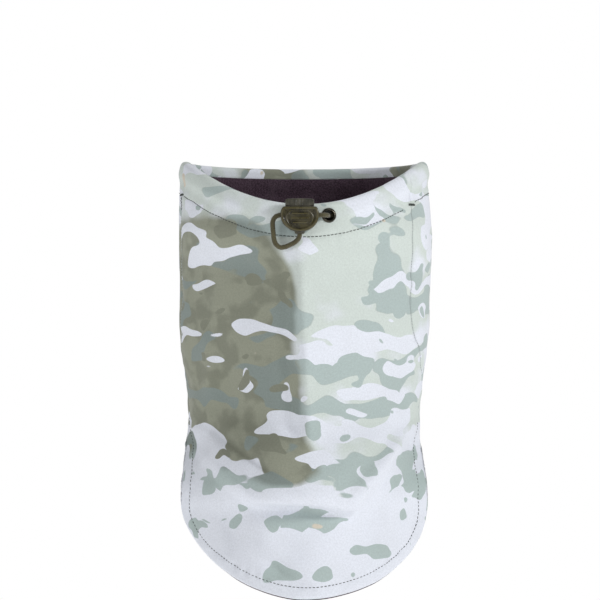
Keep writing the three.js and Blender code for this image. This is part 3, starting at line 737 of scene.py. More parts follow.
def addCord(name, path, run, reference, radius, sides):
    # a round section carried along the path, swelling a little where the cover's strands cross it
    tangent = unit(np.gradient(path, axis=0))
    across = unit(reference - (reference * tangent).sum(1, keepdims=True) * tangent)
    third = np.cross(tangent, across)
    angle = np.linspace(0, 2 * np.pi, sides, endpoint=False)
    swell = radius * (1 + 0.025 * np.sin(angle[None, :] * 5 + run[:, None] * 2.4))
    ring = across[:, None] * np.cos(angle)[:, None] + third[:, None] * np.sin(angle)[:, None]
    rings = path[:, None] + ring * swell[..., None]
    uv = np.stack(np.broadcast_arrays(run[:, None] * mm, (angle / (2 * np.pi))[None, :]), -1)
    return addRings(name, rings, uv)


path, run = smoothRoute(np.array(cordRoute) / mm, cord["step"])
swing = (smooth(run, cord["turnFrom"], cord["turnTo"]) * quarter)[:, None]
reference = np.cos(swing) * (0, 0, 1) + np.sin(swing) * (0, 1, 0)
cordLoop = addCord("cordLoop", path, run, reference, cord["diameter"] / 2 / mm, cord["ring"])
cordLoop.data.materials.append(elastic)
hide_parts("cord_loop")
print("free cord length", round(float(run[-1]), 1), "mm")

turns = np.linspace(cordTurn(25.7), 2 * math.pi + cordTurn(7), 900)
hidden = cadCloth(turns, topDrop(turns) + cordBelowEdge)
hidden = hidden - outward(turns, topDrop(turns) + cordBelowEdge, cadCloth) * tube["cordInset"]
upward = np.tile((0.0, 0.0, 1.0), (len(hidden), 1))
channelCord = addCord("channelCord", hidden, runAlong(hidden), upward, tube["cordRadius"], 14)
finishPiece(channelCord, elastic, "gaiter", "elastic_cord", "drawcord")
print("drawcord laid in the channel")


# shell and lining
panels = {"columnStep": 1.3, "backStep": 2.0, "liningStep": 2.2, "liningPast": 1.0, "printRadius": 0.098}


def softSpots(x, drop, spots):
    # sum of soft oval spots (x, drop, half width, half height, strength)
    return sum(s * np.exp(-((x - a) / w) ** 2 - ((drop - b) / h) ** 2) for a, b, w, h, s in spots)


# olive print spots; the large ones over the left flank, which faces away from the key light, are partly
# painted shade
oliveAndPaintedShadeSpots = [(-70, 98, 34, 42, 1.3), (-32, 102, 24, 40, 1.2), (-52, 160, 34, 40, 1.0),
              (-18, 180, 18, 34, 0.8), (-12, 222, 24, 16, 0.9), (-62, 55, 24, 12, 0.4),
              (-48, 206, 34, 22, 0.9), (-90, 122, 24, 66, 0.9), (24, 112, 14, 12, -0.5),
              (-84, 150, 14, 50, 0.5)]
snowSpots = [(0, 330, 160, 62, 0.75), (-74, 258, 36, 24, 0.35), (62, 262, 40, 26, 0.3),
             (30, 78, 36, 26, -0.22), (-45, 100, 40, 44, -0.16), (-50, 165, 40, 30, -0.14),
             (22, 130, 42, 9, 0.42), (66, 136, 20, 8, 0.3), (-80, 42, 16, 10, 0.35),
             (-74, 72, 12, 10, 0.42), (-58, 46, 14, 7, -0.2), (2, 66, 20, 7, 0.4),
             (84, 66, 12, 40, 0.25), (-46, 120, 24, 6, 0.4), (-74, 129, 18, 4, 0.42),
             (-66, 92, 16, 5, 0.4), (-42, 158, 4, 16, 0.42), (-14, 168, 6, 11, 0.42),
             (-20, 187, 15, 5, 0.4), (14, 198, 30, 7, 0.38), (46, 172, 22, 6, 0.35),
             (70, 190, 18, 12, 0.3), (10, 222, 16, 8, 0.2), (52, 206, 22, 8, 0.2),
             (-62, 203, 30, 20, -0.3), (-14, 226, 20, 12, -0.2)]
blotchSpots = [(66, 94, 20, 15, 0.42), (40, 150, 32, 9, 0.42), (2, 151, 18, 8, 0.34),
               (34, 182, 36, 8, 0.3), (66, 164, 14, 8, 0.25), (36, 228, 26, 12, 0.34),
               (-46, 47, 13, 6, 0.4), (-20, 53, 11, 5, 0.3), (-16, 110, 8, 9, 0.36),
               (-36, 92, 15, 7, 0.3), (-8, 263, 34, 7, 0.62), (-52, 262, 9, 7, 0.3),
               (6, 300, 36, 8, 0.66), (58, 286, 24, 7, 0.6), (-68, 240, 8, 6, 0.6),
               (-76, 266, 12, 15, 0.4), (82, 244, 18, 8, 0.6), (-12, 200, 14, 7, 0.3),
               (30, 78, 34, 26, -0.16), (56, 46, 22, 9, 0.26)]


def printFields(place, drop, turn):
    # how much of each print layer a place carries; the olive layer on the left flank is partly painted
    # shade
    x = place[..., 0]
    front = smooth(np.cos(turn), -0.15, 0.25)
    rough = ripples(np.stack([x, place[..., 1], drop], -1), 31, 70)
    olive = softSpots(x, drop, oliveAndPaintedShadeSpots) * front + (1 - front) * (0.45 + 0.4 * rough)
    snow = 0.33 + softSpots(x, drop, snowSpots) * front + (1 - front) * 0.1
    blotch = softSpots(x, drop, blotchSpots) - 0.1 * smooth(drop, 225, 250)
    blotch = 0.33 + blotch * front + (1 - front) * 0.08
    shade = front * (0.55 + 0.6 * hump(x, 34, 44) * hump(drop, 78, 46)) * (1 - smooth(drop, 215, 250))
    shade = shade + (1 - front) * 0.5
    bibLine = np.interp(x, [-95, -69, -3, 30, 80, 95], [186, 204, 246, 248, 202, 190])
    bib = 0.5 + np.clip((drop - bibLine + 2) / 60, -0.5, 0.5) * front - 0.6 * (1 - front)
    return {"olive": olive, "snow": snow, "blotch": blotch, "shade": shade, "bib": bib}


def panelDrops(panel, share, bodyRows, past=0.0):
    # drops of one column for each share: the top edge, the channel stitch and the rows up to it
    top = topDrop(panelTurn(panel, share, np.zeros_like(share)))
    hem = bottomDrop(panelTurn(panel, share, np.full_like(share, tube["height"]))) + past
    stitch = top + tube["channel"]
    t = np.linspace(0, 1, bodyRows + 1)[:-1, None]
    body = hem + (stitch - hem) * t
    return top, stitch, body


def hemRoute(panelSide):
    # once along the hem, down the bib's open sides too
    near = quarter - 0.001
    if panelSide == "front":
        side = np.linspace(tube["vent"] + 4, tube["bibWide"], 30)[:-1]
        bottom = np.linspace(-near, near, 400)
        turn = np.concatenate([np.full(29, -near), bottom, np.full(29, near)])
        drop = np.concatenate([side, bottomDrop(bottom), side[::-1]])
        return turn, drop
    turn = np.linspace(quarter + 0.12, 3 * quarter - 0.12, 400)
    return turn, bottomDrop(turn)


def inset(turn, drop, distance, steps=20):
    # the route moved into the panel on the cloth, square to itself, in small steps; on the front
    # it keeps off the very flank, where the cloth stands edge on to the turn
    flank, spacing, step = quarter - 0.045, 2.5, 1e-3
    if np.all(isFront(turn)):
        turn = np.clip(turn, -flank, flank)
    run = runAlong(cloth(turn, drop))
    even = np.linspace(0, run[-1], int(run[-1] / spacing))
    turn, drop = np.interp(even, run, turn), np.interp(even, run, drop)
    for _ in range(steps):
        here = cloth(turn, drop)
        tangent = unit(np.gradient(here, axis=0))
        inward = unit(np.cross(outward(turn, drop), tangent)) * (distance / steps)
        away = np.where(np.sin(turn) * np.cos(turn) > 0, -step, step)
        alongTurn = (cloth(turn + away, drop) - here) / away[:, None]
        alongDrop = (cloth(turn, drop + step) - here) / step
        aa, ab, bb = ((p * q).sum(1) for p, q in (
            (alongTurn, alongTurn), (alongTurn, alongDrop), (alongDrop, alongDrop)))
        a, b = (inward * alongTurn).sum(1), (inward * alongDrop).sum(1)
        scale = aa * bb - ab * ab
        turn, drop = turn + (a * bb - b * ab) / scale, drop + (b * aa - a * ab) / scale
    return turn, drop


hemStitch = {side: inset(*hemRoute(side), tube["hemInset"]) for side in ("front", "back")}
hemLine = {side: cloth(*hemStitch[side]) for side in hemStitch}


def shellGrid(panel, side, step):
    # up from the hem, over the fold at the top edge and a little way down inside
    wide = tube["halfWidth"] * (panel["hem"][1] - panel["hem"][0])
    share = np.linspace(0, 1, int(wide / step) + 1)[None, :]
    top, stitch, body = panelDrops(panel, share, int(200 / step) + (12 if side == "front" else 0))
    edge = top + tube["fold"]
    t = np.linspace(0, 1, int(22 / step))[:, None]
    drop = np.concatenate([body, stitch + (edge - stitch) * t], 0)
    shares = np.broadcast_to(share, drop.shape)
    turn = panelTurn(panel, shares, drop)
    base = cloth(turn, drop)
    lift = relief(turn, drop)
    fromHem = nearest(base, cloth(*hemRoute(side)))
    fromStitch = nearest(base, hemLine[side])
    below = drop - topDrop(turn)
    seam = sewnDistance(turn, drop)
    lift = lift + hemPucker(base) * hump(fromStitch, 0, 5)
    lift = lift - folds["groove"] * hump(fromStitch, 0, 0.9) - 0.5 * hump(fromHem, 0, 1.2)
    lift = lift - folds["groove"] * hump(below, tube["channel"], 0.9) - 0.7 * hump(seam, 0, 1.5)
    middle = base + outward(turn, drop) * lift[..., None]
    angle = np.linspace(0, math.pi, 13)[1:, None]
    turnTop = panelTurn(panel, share, top)
    foldTurn = np.broadcast_to(turnTop, (12, share.shape[1]))
    foldDrop = edge - tube["fold"] * np.sin(angle)
    wave = 0.3 * ripples(np.stack([foldTurn * 100, 0 * foldTurn], -1), 61, 16)
    radius = tube["fold"]
    over = cloth(foldTurn, foldDrop) - outward(foldTurn, foldDrop) * (
        radius * (1 - np.cos(angle)) - wave * np.sin(angle))[..., None]
    end = np.array([0.33, 0.66, 1.0])[:, None]
    endDrop = edge + (top + tube["turnedIn"] - edge) * end
    endTurn = np.broadcast_to(turnTop, endDrop.shape)
    inside = cloth(endTurn, endDrop) - outward(endTurn, endDrop) * (2 * radius)
    middle = np.concatenate([middle, over, inside], 0)
    allTurn = np.concatenate([turn, foldTurn, endTurn], 0)
    allDrop = np.concatenate([drop, foldDrop, endDrop], 0)
    paper = np.concatenate([drop, edge - radius * angle, edge - radius * math.pi - (endDrop - edge)], 0)
    uv = np.stack([allTurn * panels["printRadius"], -paper * mm], -1)
    fields = printFields(cloth(allTurn, allDrop), np.maximum(paper, 5.0), allTurn)
    return middle, uv, fields


def liningGrid(panel, side, step):
    # close behind the shell, then away from it round the drawcord up to the shell's turned-in edge
    wide = tube["halfWidth"] * (panel["hem"][1] - panel["hem"][0])
    share = np.linspace(0, 1, int(wide / step) + 1)[None, :]
    top, stitch, body = panelDrops(panel, share, int(230 / step), panels["liningPast"])
    t = np.linspace(0, 1, int(24 / step))[:, None]
    drop = np.concatenate([body, stitch + (top + tube["turnedIn"] + tube["gap"] - stitch) * t], 0)
    turn = panelTurn(panel, np.broadcast_to(share, drop.shape), drop)
    close = tube["shell"] / 2 + tube["gap"] + tube["lining"] / 2
    openDrop = top + cordBelowEdge + tube["cordRadius"] + tube["gap"]
    opening = 1 - smooth(drop, openDrop, stitch)
    depth = close + (2 * tube["fold"] - close) * opening
    base = cloth(turn, drop)
    lift = relief(turn, drop) * (1 - opening)
    fromHem = nearest(base, cloth(*hemRoute(side)))
    lift = lift - 0.5 * hump(fromHem, 0, 1.2)
    lift = lift - folds["groove"] * hump(drop - topDrop(turn), tube["channel"], 2.5)
    lift = lift + hemPucker(base) * hump(nearest(base, hemLine[side]), 0, 5)
    seam = sewnDistance(turn, drop)
    lift = lift - 0.7 * hump(seam, 0, 1.5)
    middle = base + outward(turn, drop) * (lift - depth)[..., None]
    uv = np.stack([turn * panels["printRadius"], -drop * mm], -1)
    return middle, uv, {"shade": np.zeros(turn.shape)}


def sheetArea(middle):
    one = np.diff(middle, axis=0)[:, :-1]
    two = np.diff(middle, axis=1)[:-1]
    return float(np.linalg.norm(np.cross(one, two), axis=-1).sum()) * mm * mm


shells = {}
for name, panel, side, step, make, thickness, material, slot, cadNode in (
        ("frontShell", frontPanel, "front", panels["columnStep"], shellGrid, tube["shell"], softshell,
         "softshell", "front_shell"),
        ("backShell", backPanel, "back", panels["backStep"], shellGrid, tube["shell"], softshell,
         "softshell", "back_shell"),
        ("frontLining", frontPanel, "front", panels["liningStep"], liningGrid, tube["lining"], fleece,
         "fleece", "front_lining"),
        ("backLining", backPanel, "back", panels["liningStep"], liningGrid, tube["lining"], fleece,
         "fleece", "back_lining")):
    middle, uv, fields = make(panel, side, step)
    piece = addSheet(name, middle, thickness, uv, fields)
    shells[name] = finishPiece(piece, material, "gaiter", slot, cadNode)
    print(name, "area", round(sheetArea(middle), 4), "points", len(piece.data.vertices))


# the hole that the eyelet is set in
holeAxis = outward(eyeletTurn, np.asarray(tube["cordDrop"]), cadCloth)
holeSide = unit(np.cross(holeAxis, (0.0, 0.0, 1.0)))
holeUp = np.cross(holeSide, holeAxis)
around = np.linspace(0, 2 * np.pi, 48, endpoint=False)[None, :, None]
holeRadius = 4.1
circle = eyeletPlace + holeRadius * (holeSide * np.cos(around) + holeUp * np.sin(around))
punch = addRings("punch", circle + holeAxis * np.array([-3.0, 3.0])[:, None, None])
combine(shells["frontShell"], "DIFFERENCE", [punch])
print("eyelet hole cut")


# stitches
lineStitch = {"length": 2.5, "pitch": 2.9, "radius": 0.27, "bury": 0.25, "lift": 0.12, "room": 6.5}
seamStitch = {"length": 2.0, "pitch": 2.4, "radius": 0.2, "bury": 0.25, "lift": -0.55}
barTack = {"length": 1.75, "pitch": 1.6, "radius": 0.27, "bury": 0.1, "lift": 0.15, "strokes": 13,
           "wide": 8.6, "high": 0.75}
seamDarkRun = {"length": 2.2, "pitch": 2.0, "radius": 0.26, "bury": 0.1, "lift": 0.1}
thread = {"stations": 7, "sides": 6}


def addStitches(name, route, normal, sewn):
    # one small bowed thread after another along a route, each end dipping into the cloth
    length, radius = sewn["length"], sewn["radius"]
    stations, sides = thread["stations"], thread["sides"]
    run = runAlong(route)
    count = max(1, int((run[-1] - length) / sewn["pitch"]))
    centre = length / 2 + np.arange(count) * sewn["pitch"]
    station = np.linspace(-1, 1, stations)
    angle = np.linspace(0, 2 * np.pi, sides, endpoint=False)
    at = centre[:, None] + station * length / 2
    place, up = readAlong(at, run, route), unit(readAlong(at, run, normal))
    tangent = unit(np.gradient(place, axis=1))
    side = unit(np.cross(tangent, up))
    thick = radius * np.sqrt(np.maximum(1 - 0.75 * station ** 4, 0))
    rise = radius * 0.9 * (1 - station ** 2) - (radius + sewn["bury"]) * station ** 6
    middle = place + up * rise[None, :, None]
    ring = (side[:, :, None] * np.cos(angle)[None, None, :, None]
            + up[:, :, None] * np.sin(angle)[None, None, :, None])
    points = middle[:, :, None] + ring * thick[None, :, None, None]
    template = gridFaces(stations, sides, closedColumns=True)
    caps = np.stack([np.arange(sides)[::-1], (stations - 1) * sides + np.arange(sides)])
    step = stations * sides
    offset = (np.arange(count) * step)[:, None, None]
    return addMesh(name, points.reshape(-1, 3), [(template[None] + offset).reshape(-1, 4),
                                                 (caps[None] + offset).reshape(-1, sides)])


def clothRoute(turn, drop, lift):
    return onCloth(turn, drop, lift), outward(turn, drop)


face = tube["shell"] / 2
threadLift = face - folds["groove"] + lineStitch["lift"]
for name, panel, cadNode in (("channelStitchFront", frontPanel, "channel_stitch_front"),
                             ("channelStitchBack", backPanel, "channel_stitch_back")):
    room = lineStitch["room"] / (tube["halfWidth"] * (panel["top"][1] - panel["top"][0]))
    share = np.linspace(room, 1 - room, 900)
    turn = panelTurn(panel, share, np.zeros_like(share))
    route, normal = clothRoute(turn, topDrop(turn) + tube["channel"], threadLift)
    finishPiece(addStitches(name, route, normal, lineStitch), darkThread, "gaiter", "thread", cadNode)

for name, side, cadNode in (("bibHemStitch", "front", "bib_hem_stitch"),
                            ("backHemStitch", "back", "back_hem_stitch")):
    route, normal = clothRoute(*hemStitch[side], threadLift + hemPucker(hemLine[side]))
    finishPiece(addStitches(name, route, normal, lineStitch), darkThread, "gaiter", "thread", cadNode)

for name, end in (("left", 0.0), ("right", 1.0)):
    seamTop = topDrop(np.asarray(tube["seamLeft" if name == "left" else "seamRight"])) + tube["channel"]
    drop = np.linspace(seamTop + 2, tube["vent"] - 2, 500)
    turn = panelTurn(frontPanel, end, drop)
    route, normal = clothRoute(turn, drop, face + seamStitch["lift"])
    made = addStitches(name + "SeamStitch", route, normal, seamStitch)
    finishPiece(made, paleThread, "gaiter", "thread", name + "_seam_stitch")
    zigzag = np.linspace(0, barTack["strokes"], 700)
    over = np.abs((zigzag % 1) * 2 - 1) * 2 - 1
    across = (zigzag / barTack["strokes"] - 0.5) * barTack["wide"]
    turn = panelTurn(frontPanel, end, np.full(700, seamTop)) + across / tube["halfWidth"]
    route, normal = clothRoute(turn, seamTop + over * barTack["high"], face + barTack["lift"])
    made = addStitches(name + "BarTack", route, normal, barTack)
    finishPiece(made, darkThread, "gaiter", "thread", name + "_bar_tack")
    if name == "left":
        # a short run of dark stitches down the left seam from the bar
        drop = np.linspace(seamTop + 1.5, seamTop + 15, 200)
        turn = panelTurn(frontPanel, end, drop) + 0.012
        route, normal = clothRoute(turn, drop, face + seamDarkRun["lift"])
        made = addStitches("leftSeamDarkRun", route, normal, seamDarkRun)
        finishPiece(made, darkThread, "gaiter", "thread")
print("stitches sewn")


# eyelet
eyeletSize = {"bore": 3.5, "radius": 5.3, "wall": 0.3, "washer": 0.4, "segments": 72}


def addLathe(name, profile, segments):
    # a closed profile of (radius, height) turned round the eyelet's own axis
    profile = np.array(profile, float)
    angle = np.linspace(0, 2 * np.pi, segments, endpoint=False)[:, None, None]
    spoke = holeSide * np.cos(angle) + holeUp * np.sin(angle)
    rings = eyeletPlace + spoke * profile[None, :, :1] + holeAxis * profile[None, :, 1:]
    face = gridFaces(segments + 1, len(profile), closedColumns=True)
    face = face % (segments * len(profile))
    return addMesh(name, rings.reshape(-1, 3), [face])


def rounded(profile, steps=5, cut=0.28):
    # corners of a closed profile cut back and rounded
    profile = np.asarray(profile, float)
    before, after = np.roll(profile, 1, 0), np.roll(profile, -1, 0)
    reach = np.minimum(cut, 0.45 * np.minimum(np.linalg.norm(before - profile, axis=1),
                                              np.linalg.norm(after - profile, axis=1)))[:, None]
    a, b = profile + unit(before - profile) * reach, profile + unit(after - profile) * reach
    t = np.linspace(0, 1, steps)[None, :, None]
    curve = (1 - t) ** 2 * a[:, None] + 2 * t * (1 - t) * profile[:, None] + t ** 2 * b[:, None]
    return curve.reshape(-1, 2)


face = tube["shell"] / 2 + tube["gap"]
barrel = eyeletSize["bore"] + eyeletSize["wall"]
# the frame's shell has flat facets, which cut this far inside its round tube
sag = 111.2 * (1 - math.cos(quarter / 24))
backFace = tube["shell"] / 2 + sag + tube["gap"] / 2
rolled = backFace + eyeletSize["washer"] + tube["gap"]
eyeletRing = addLathe("eyeletRing", rounded([
    (eyeletSize["bore"], face + 0.5), (eyeletSize["bore"] + 0.45, face + 0.95),
    (eyeletSize["radius"] - 0.7, face + 0.8), (eyeletSize["radius"], face + 0.25),
    (eyeletSize["radius"], face), (barrel, face), (barrel, -rolled), (barrel + 0.7, -rolled),
    (barrel + 0.7, -rolled - 0.3), (eyeletSize["bore"], -rolled - 0.3)]), eyeletSize["segments"])
finishPiece(eyeletRing, gunmetal, "gaiter", "gunmetal", "eyelet")
washer = addLathe("eyeletWasher", rounded([
    (barrel + 0.3, -backFace), (eyeletSize["radius"], -backFace),
    (eyeletSize["radius"], -backFace - eyeletSize["washer"]),
    (barrel + 0.3, -backFace - eyeletSize["washer"])], 4, 0.12), eyeletSize["segments"])
finishPiece(washer, gunmetal, "gaiter", "gunmetal", "eyelet_washer")
print("eyelet set")


# cord lock
lock = {"halfWidth": 13.75, "top": 6.0, "bottom": 12.0, "thick": 10.5, "points": 176, "bore": 2.15,
        "capHalf": 10.25, "capBottom": 5.6, "capHeight": 6.2, "capDepth": 7.0, "stemHalf": 7.5,
        "stemDeep": 3.3, "stemBar": 2.2, "travel": 2.5, "play": 0.3}
low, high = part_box("lock_body")
lockCentre = np.array([(low.x + high.x) / 2, (low.y + high.y) / 2, high.z - lock["top"] * mm]) / mm


def evenOutline(points, count):
    # a closed outline resampled to even steps, with its outward directions
    closed = np.concatenate([points, points[:1]])
    run = runAlong(closed)
    line = readAlong(np.linspace(0, run[-1], count, endpoint=False), run, closed)
    along = unit(np.roll(line, -1, 0) - np.roll(line, 1, 0))
    out = np.stack([along[:, 1], -along[:, 0]], -1)
    area = (line[:, 0] * np.roll(line[:, 1], -1) - np.roll(line[:, 0], -1) * line[:, 1]).sum()
    return line, out * (1 if area > 0 else -1)


def curveTo(a, b, c, d, count=24):
    t = np.linspace(0, 1, count, endpoint=False)[:, None]
    a, b, c, d = (np.array(p, float) for p in (a, b, c, d))
    return (1 - t) ** 3 * a + 3 * t * (1 - t) ** 2 * b + 3 * t * t * (1 - t) * c + t ** 3 * d


def lockOutline():
    # flat on top, widest at the cord, round below
    w, up = lock["halfWidth"], lock["top"]
    shoulder = w - 3.1
    angle = np.linspace(0, -math.pi, 90, endpoint=False)[:, None]
    return np.concatenate([
        curveTo((-shoulder, up), (0, up), (0, up), (shoulder, up)),
        curveTo((shoulder, up), (w - 1.2, up), (w, up * 0.55), (w, 0)),
        np.concatenate([w * np.cos(angle), lock["bottom"] * np.sin(angle)], 1),
        curveTo((-w, 0), (-w, up * 0.55), (-w + 1.2, up), (-shoulder, up))])


def addPuck(name, outline, count, stations, middle, bumps):
    # an outline carried through stations of (offset, shrink, height), closed at both middles
    line, out = evenOutline(outline, count)
    station = np.array(stations, float)
    shape = line[None] + out[None] * station[:, :1, None]
    shape = np.array(middle) + (shape - np.array(middle)) * station[:, 1, None, None]
    depth = np.broadcast_to(station[:, 2:3], shape.shape[:2])
    rings = np.stack([shape[..., 0], depth, shape[..., 1]], -1)
    lift, wearAndPaintedHighlight = bumps(rings[..., 0], rings[..., 2], station)
    rings[..., 1] += lift
    return addRings(name, rings + lockCentre, wearAndPaintedHighlight=wearAndPaintedHighlight)


def roundedEdge(half, radius, steps):
    # stations round one edge, from the flat face to the side
    return [(-radius * (1 - math.sin(a)), 1, half - radius * (1 - math.cos(a)))
            for a in np.linspace(0, quarter, steps)]


def gripRidges(x, z, station):
    # three rounded bars and a low ring on the recessed front; also how pale each place is, for edge wear
    # and painted highlight
    inFront = (station[:, 0:1] < -2.6) & (station[:, 2:3] < 0)
    bars = sum(smooth(0.62 - np.abs(z - place), 0, 0.34) * smooth(half - np.abs(x), 0, 0.7)
               for place, half in ((0.9, 6.3), (-2.3, 6.9), (-5.5, 5.4)))
    oval = np.sqrt((x / 9.6) ** 2 + ((z + 2.4) / 7.4) ** 2)
    ring = smooth(0.055 - np.abs(oval - 0.98), 0, 0.04)
    bars = np.clip(bars, 0, 1)
    worn = 0.75 * hump(station[:, 0:1], -1.2, 0.8) * (station[:, 2:3] < -4)
    worn = worn + 0.15 * (station[:, 0:1] > -0.8) + inFront * (0.75 * bars + 0.8 * ring)
    return -1.0 * inFront * (bars + 0.6 * ring), worn + 0 * x


half = lock["thick"] / 2
rounding = roundedEdge(half, 1.3, 7)
body = [(-1.4, f, half) for f in (0.02, 0.35, 0.7, 0.92)] + rounding
body += [(0.0, 1, y) for y in np.linspace(half - 1.7, 1.7 - half, 7)]
body += [(offset, 1, -height) for offset, _, height in rounding[::-1]]
body += [(-1.75, 1, -half), (-2.05, 1, -half + 0.1), (-2.25, 1, -half + 0.4), (-2.4, 1, -half + 0.85),
         (-2.55, 1, -half + 1.1)]
body += [(-2.75, f, -half + 1.2) for f in np.linspace(1, 0.02, 34)]
lockBody = addPuck("lockBody", lockOutline(), lock["points"], body, (0.0, -2.4), gripRidges)


def cutter(name, low, high):
    # a plain block used only to cut a pocket, corners in mm from the lock's centre
    low, high = np.array(low, float), np.array(high, float)
    corner = np.array([[i, j, k] for i in (0, 1) for j in (0, 1) for k in (0, 1)])
    face = np.array([[0, 1, 3, 2], [4, 6, 7, 5], [0, 4, 5, 1],
                     [2, 3, 7, 6], [0, 2, 6, 4], [1, 5, 7, 3]])
    return addMesh(name, low + (high - low) * corner + lockCentre, [face], smoothShade=False)


def roundCutter(name, axis, radii, places, sides=40):
    # a round bar along x or z whose radius follows its places
    angle = np.linspace(0, 2 * np.pi, sides, endpoint=False)
    radii, places = np.array(radii, float)[:, None], np.array(places, float)[:, None]
    c, s, p = radii * np.cos(angle), radii * np.sin(angle), np.broadcast_to(places, (len(radii), sides))
    rings = np.stack([p, c, s] if axis == "x" else [c, s, p], -1)
    return addRings(name, rings + lockCentre)


bore, wide, play = lock["bore"], lock["halfWidth"], lock["play"]
barTop = -tube["cordRadius"] - tube["gap"]
stemFloor = barTop - lock["stemBar"] - lock["travel"] - 0.25
boss = roundCutter("boss", "z", [3.0, 3.35, 3.55, 3.9, 4.4], [-13.4, -13.2, -12.8, -11.9, -10.5])
combine(lockBody, "UNION", [boss])
combine(lockBody, "DIFFERENCE", [
    roundCutter("crossBore", "x", [3.6, 2.9, 2.3, bore, bore, 2.3, 2.9, 3.6],
                [-wide - 0.6, -wide + 0.1, -wide + 0.9, -wide + 2,
                 wide - 2, wide - 0.9, wide - 0.1, wide + 0.6]),
    cutter("capPocket", (-lock["capHalf"] - play, -lock["capDepth"] / 2 - play, 3.0),
           (lock["capHalf"] + play, lock["capDepth"] / 2 + play, 12)),
    cutter("stemPocket", (-lock["stemHalf"] - play, -lock["stemDeep"] - play, stemFloor),
           (lock["stemHalf"] + play, lock["stemDeep"] + play, 8)),
    roundCutter("springWell", "z", [2.425, 2.425], [stemFloor - 1.7, stemFloor + 1]),
    roundCutter("socket", "z", [2.7, 2.3, bore, bore], [-14.2, -13.2, -12.6, -9.4])])
finishPiece(lockBody, lockPlastic, "cord_lock", "lock_plastic", "lock_body")


def capOutline():
    h, low, up = lock["capHalf"], lock["capBottom"], lock["capBottom"] + lock["capHeight"]
    return np.concatenate([
        curveTo((-h, low), (0, low), (0, low), (h, low)),
        curveTo((h, low), (h, low + 2), (h, low + 3), (h, up - 1.6)),
        curveTo((h, up - 1.6), (h, up - 0.9), (h - 0.6, up - 0.55), (h - 1.5, up - 0.45)),
        curveTo((h - 1.5, up - 0.45), (h / 2, up + 0.05), (-h / 2, up + 0.05), (-h + 1.5, up - 0.45)),
        curveTo((-h + 1.5, up - 0.45), (-h + 0.6, up - 0.55), (-h, up - 0.9), (-h, up - 1.6)),
        curveTo((-h, up - 1.6), (-h, low + 3), (-h, low + 2), (-h, low))])


def capGrooves(x, z, station):
    # upright grip grooves across the front and the back of the cap
    depth = station[:, 2:3]
    grooves = sum(hump(x, place, 0.42) for place in (-7.5, -5, -2.5, 0, 2.5, 5, 7.5))
    span = smooth(z, 6.6, 7.4) * (1 - smooth(z, 10.4, 11.2))
    # the cap's top and side edges paled for wear and painted highlight
    worn = 0.5 * smooth(z, 10.6, 11.8) + 0.35 * hump(np.abs(x), 10.2, 0.9)
    return -np.sign(depth) * 0.35 * grooves * span * (np.abs(depth) > 3.2), worn


half = lock["capDepth"] / 2
rounding = roundedEdge(half, 0.9, 6)
cap = [(-1.0, f, half) for f in np.linspace(0.02, 0.97, 18)] + rounding
cap += [(0.0, 1, y) for y in (1.3, 0.0, -1.3)]
cap += [(offset, 1, -height) for offset, _, height in rounding[::-1]]
cap += [(-1.0, f, -half) for f in np.linspace(0.97, 0.02, 18)]
plunger = addPuck("lockPlunger", capOutline(), 180, cap, (0.0, 8.7), capGrooves)
stemHalf, stemDeep = lock["stemHalf"], lock["stemDeep"]
combine(plunger, "UNION", [cutter("stem", (-stemHalf, -stemDeep, barTop - lock["stemBar"]),
                                  (stemHalf, stemDeep, 6.6))])
combine(plunger, "DIFFERENCE", [cutter("window", (-8.5, -2.15, barTop),
                                       (8.5, 2.15, tube["cordRadius"] + tube["gap"] + lock["travel"]))])
finishPiece(plunger, plungerPlastic, "plunger", "plunger_plastic", "lock_plunger")

# the coil under the plunger: closed end turns, made at one height; the real coil is squashed as the
# plunger goes down
coil = {"radius": 1.9, "wire": 0.225, "turns": 4.5, "height": 4.25, "gap": 0.1}
coilFoot = barTop - lock["stemBar"] - coil["gap"] - coil["height"]
share = np.linspace(0, 1, 325)
angle = 2 * np.pi * coil["turns"] * share
rise = 0.1 * share + 0.9 * smooth(share, 0.08, 0.92)
away = np.stack([np.cos(angle), np.sin(angle), 0 * angle], -1)[:, None]
around = np.linspace(0, 2 * np.pi, 13)[:-1][None, :, None]
middle = away * coil["radius"] + np.array([0, 0, 1.0]) * (
    coilFoot + coil["wire"] + (coil["height"] - 2 * coil["wire"]) * rise)[:, None, None]
wire = coil["wire"] * (np.cos(around) * away + np.sin(around) * np.array([0, 0, 1.0]))
lockSpring = addRings("lockSpring", middle + wire + lockCentre)
finishPiece(lockSpring, springSteel, "cord_lock", "spring_steel", "lock_spring")
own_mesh(lockSpring)
print("cord lock made")


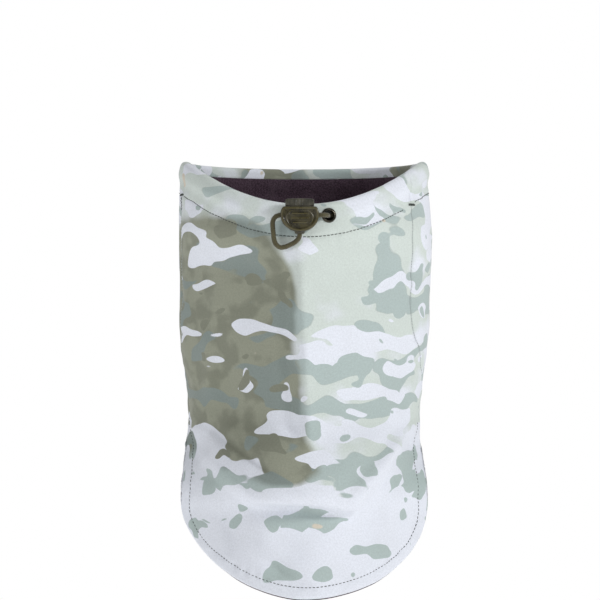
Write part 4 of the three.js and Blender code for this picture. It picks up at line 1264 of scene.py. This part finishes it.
# what stays from the frame
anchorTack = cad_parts["cord_anchor_tack"]
anchorTack.data.materials.clear()
anchorTack.data.materials.append(darkThread)

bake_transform(cordLoop)


# floor, light
studio = {"floorDrop": -1.2, "floorReach": 6.5, "floorSides": 96, "floorGlow": 0.6, "sky": 0.35,
          "keyPower": 18.0, "fillPower": 6.5, "topPower": 2.6}

sides = studio["floorSides"]
spin = np.linspace(0, 2 * np.pi, sides + 1)[:-1]
level = np.full(sides, studio["floorDrop"] / studio["floorReach"])
floorLine = np.stack([np.cos(spin), np.sin(spin), level], -1) * studio["floorReach"] / mm
floor = addMesh("floor", floorLine, [np.arange(sides)[None]], smoothShade=False)
floorPaint, tree, shader = startMaterial("floorPaint", Roughness=0.9,
                                         Emission_Strength=studio["floorGlow"])
shader.inputs["Base Color"].default_value = (0.9, 0.9, 0.9, 1)
shader.inputs["Emission Color"].default_value = (1, 1, 1, 1)
floor.data.materials.append(floorPaint)

world = bpy.data.worlds.new("studio")
world.use_nodes = True
tree = world.node_tree
backdrop = tree.nodes["Background"]
backdrop.inputs["Color"].default_value = (1, 1, 1, 1)
seen = node(tree, "LightPath").outputs["Is Camera Ray"]
tree.links.new(ramp(tree, seen, 0.0, 1.0, studio["sky"], 1.0), backdrop.inputs["Strength"])
bpy.context.scene.world = world


def addLight(name, place, aim, size, power):
    made = bpy.data.objects.new(name, bpy.data.lights.new(name, "AREA"))
    made.data.shape = "DISK"
    made.data.size = size
    made.data.energy = power
    away = np.array(place, float) - np.array(aim, float)
    flat = math.hypot(away[0], away[1])
    made.location = place
    made.rotation_euler = (math.atan2(flat, away[2]), 0, math.atan2(away[0], -away[1]))
    bpy.context.scene.collection.objects.link(made)


addLight("key", (1.45, -1.1, 0.6), (0, 0, -0.16), 0.4, studio["keyPower"])
addLight("fill", (-1.3, -1.2, 0.1), (0, 0, -0.16), 0.9, studio["fillPower"])
addLight("top", (0.1, 0.2, 1.3), (0, 0, -0.1), 0.8, studio["topPower"])
print("floor and lights placed")
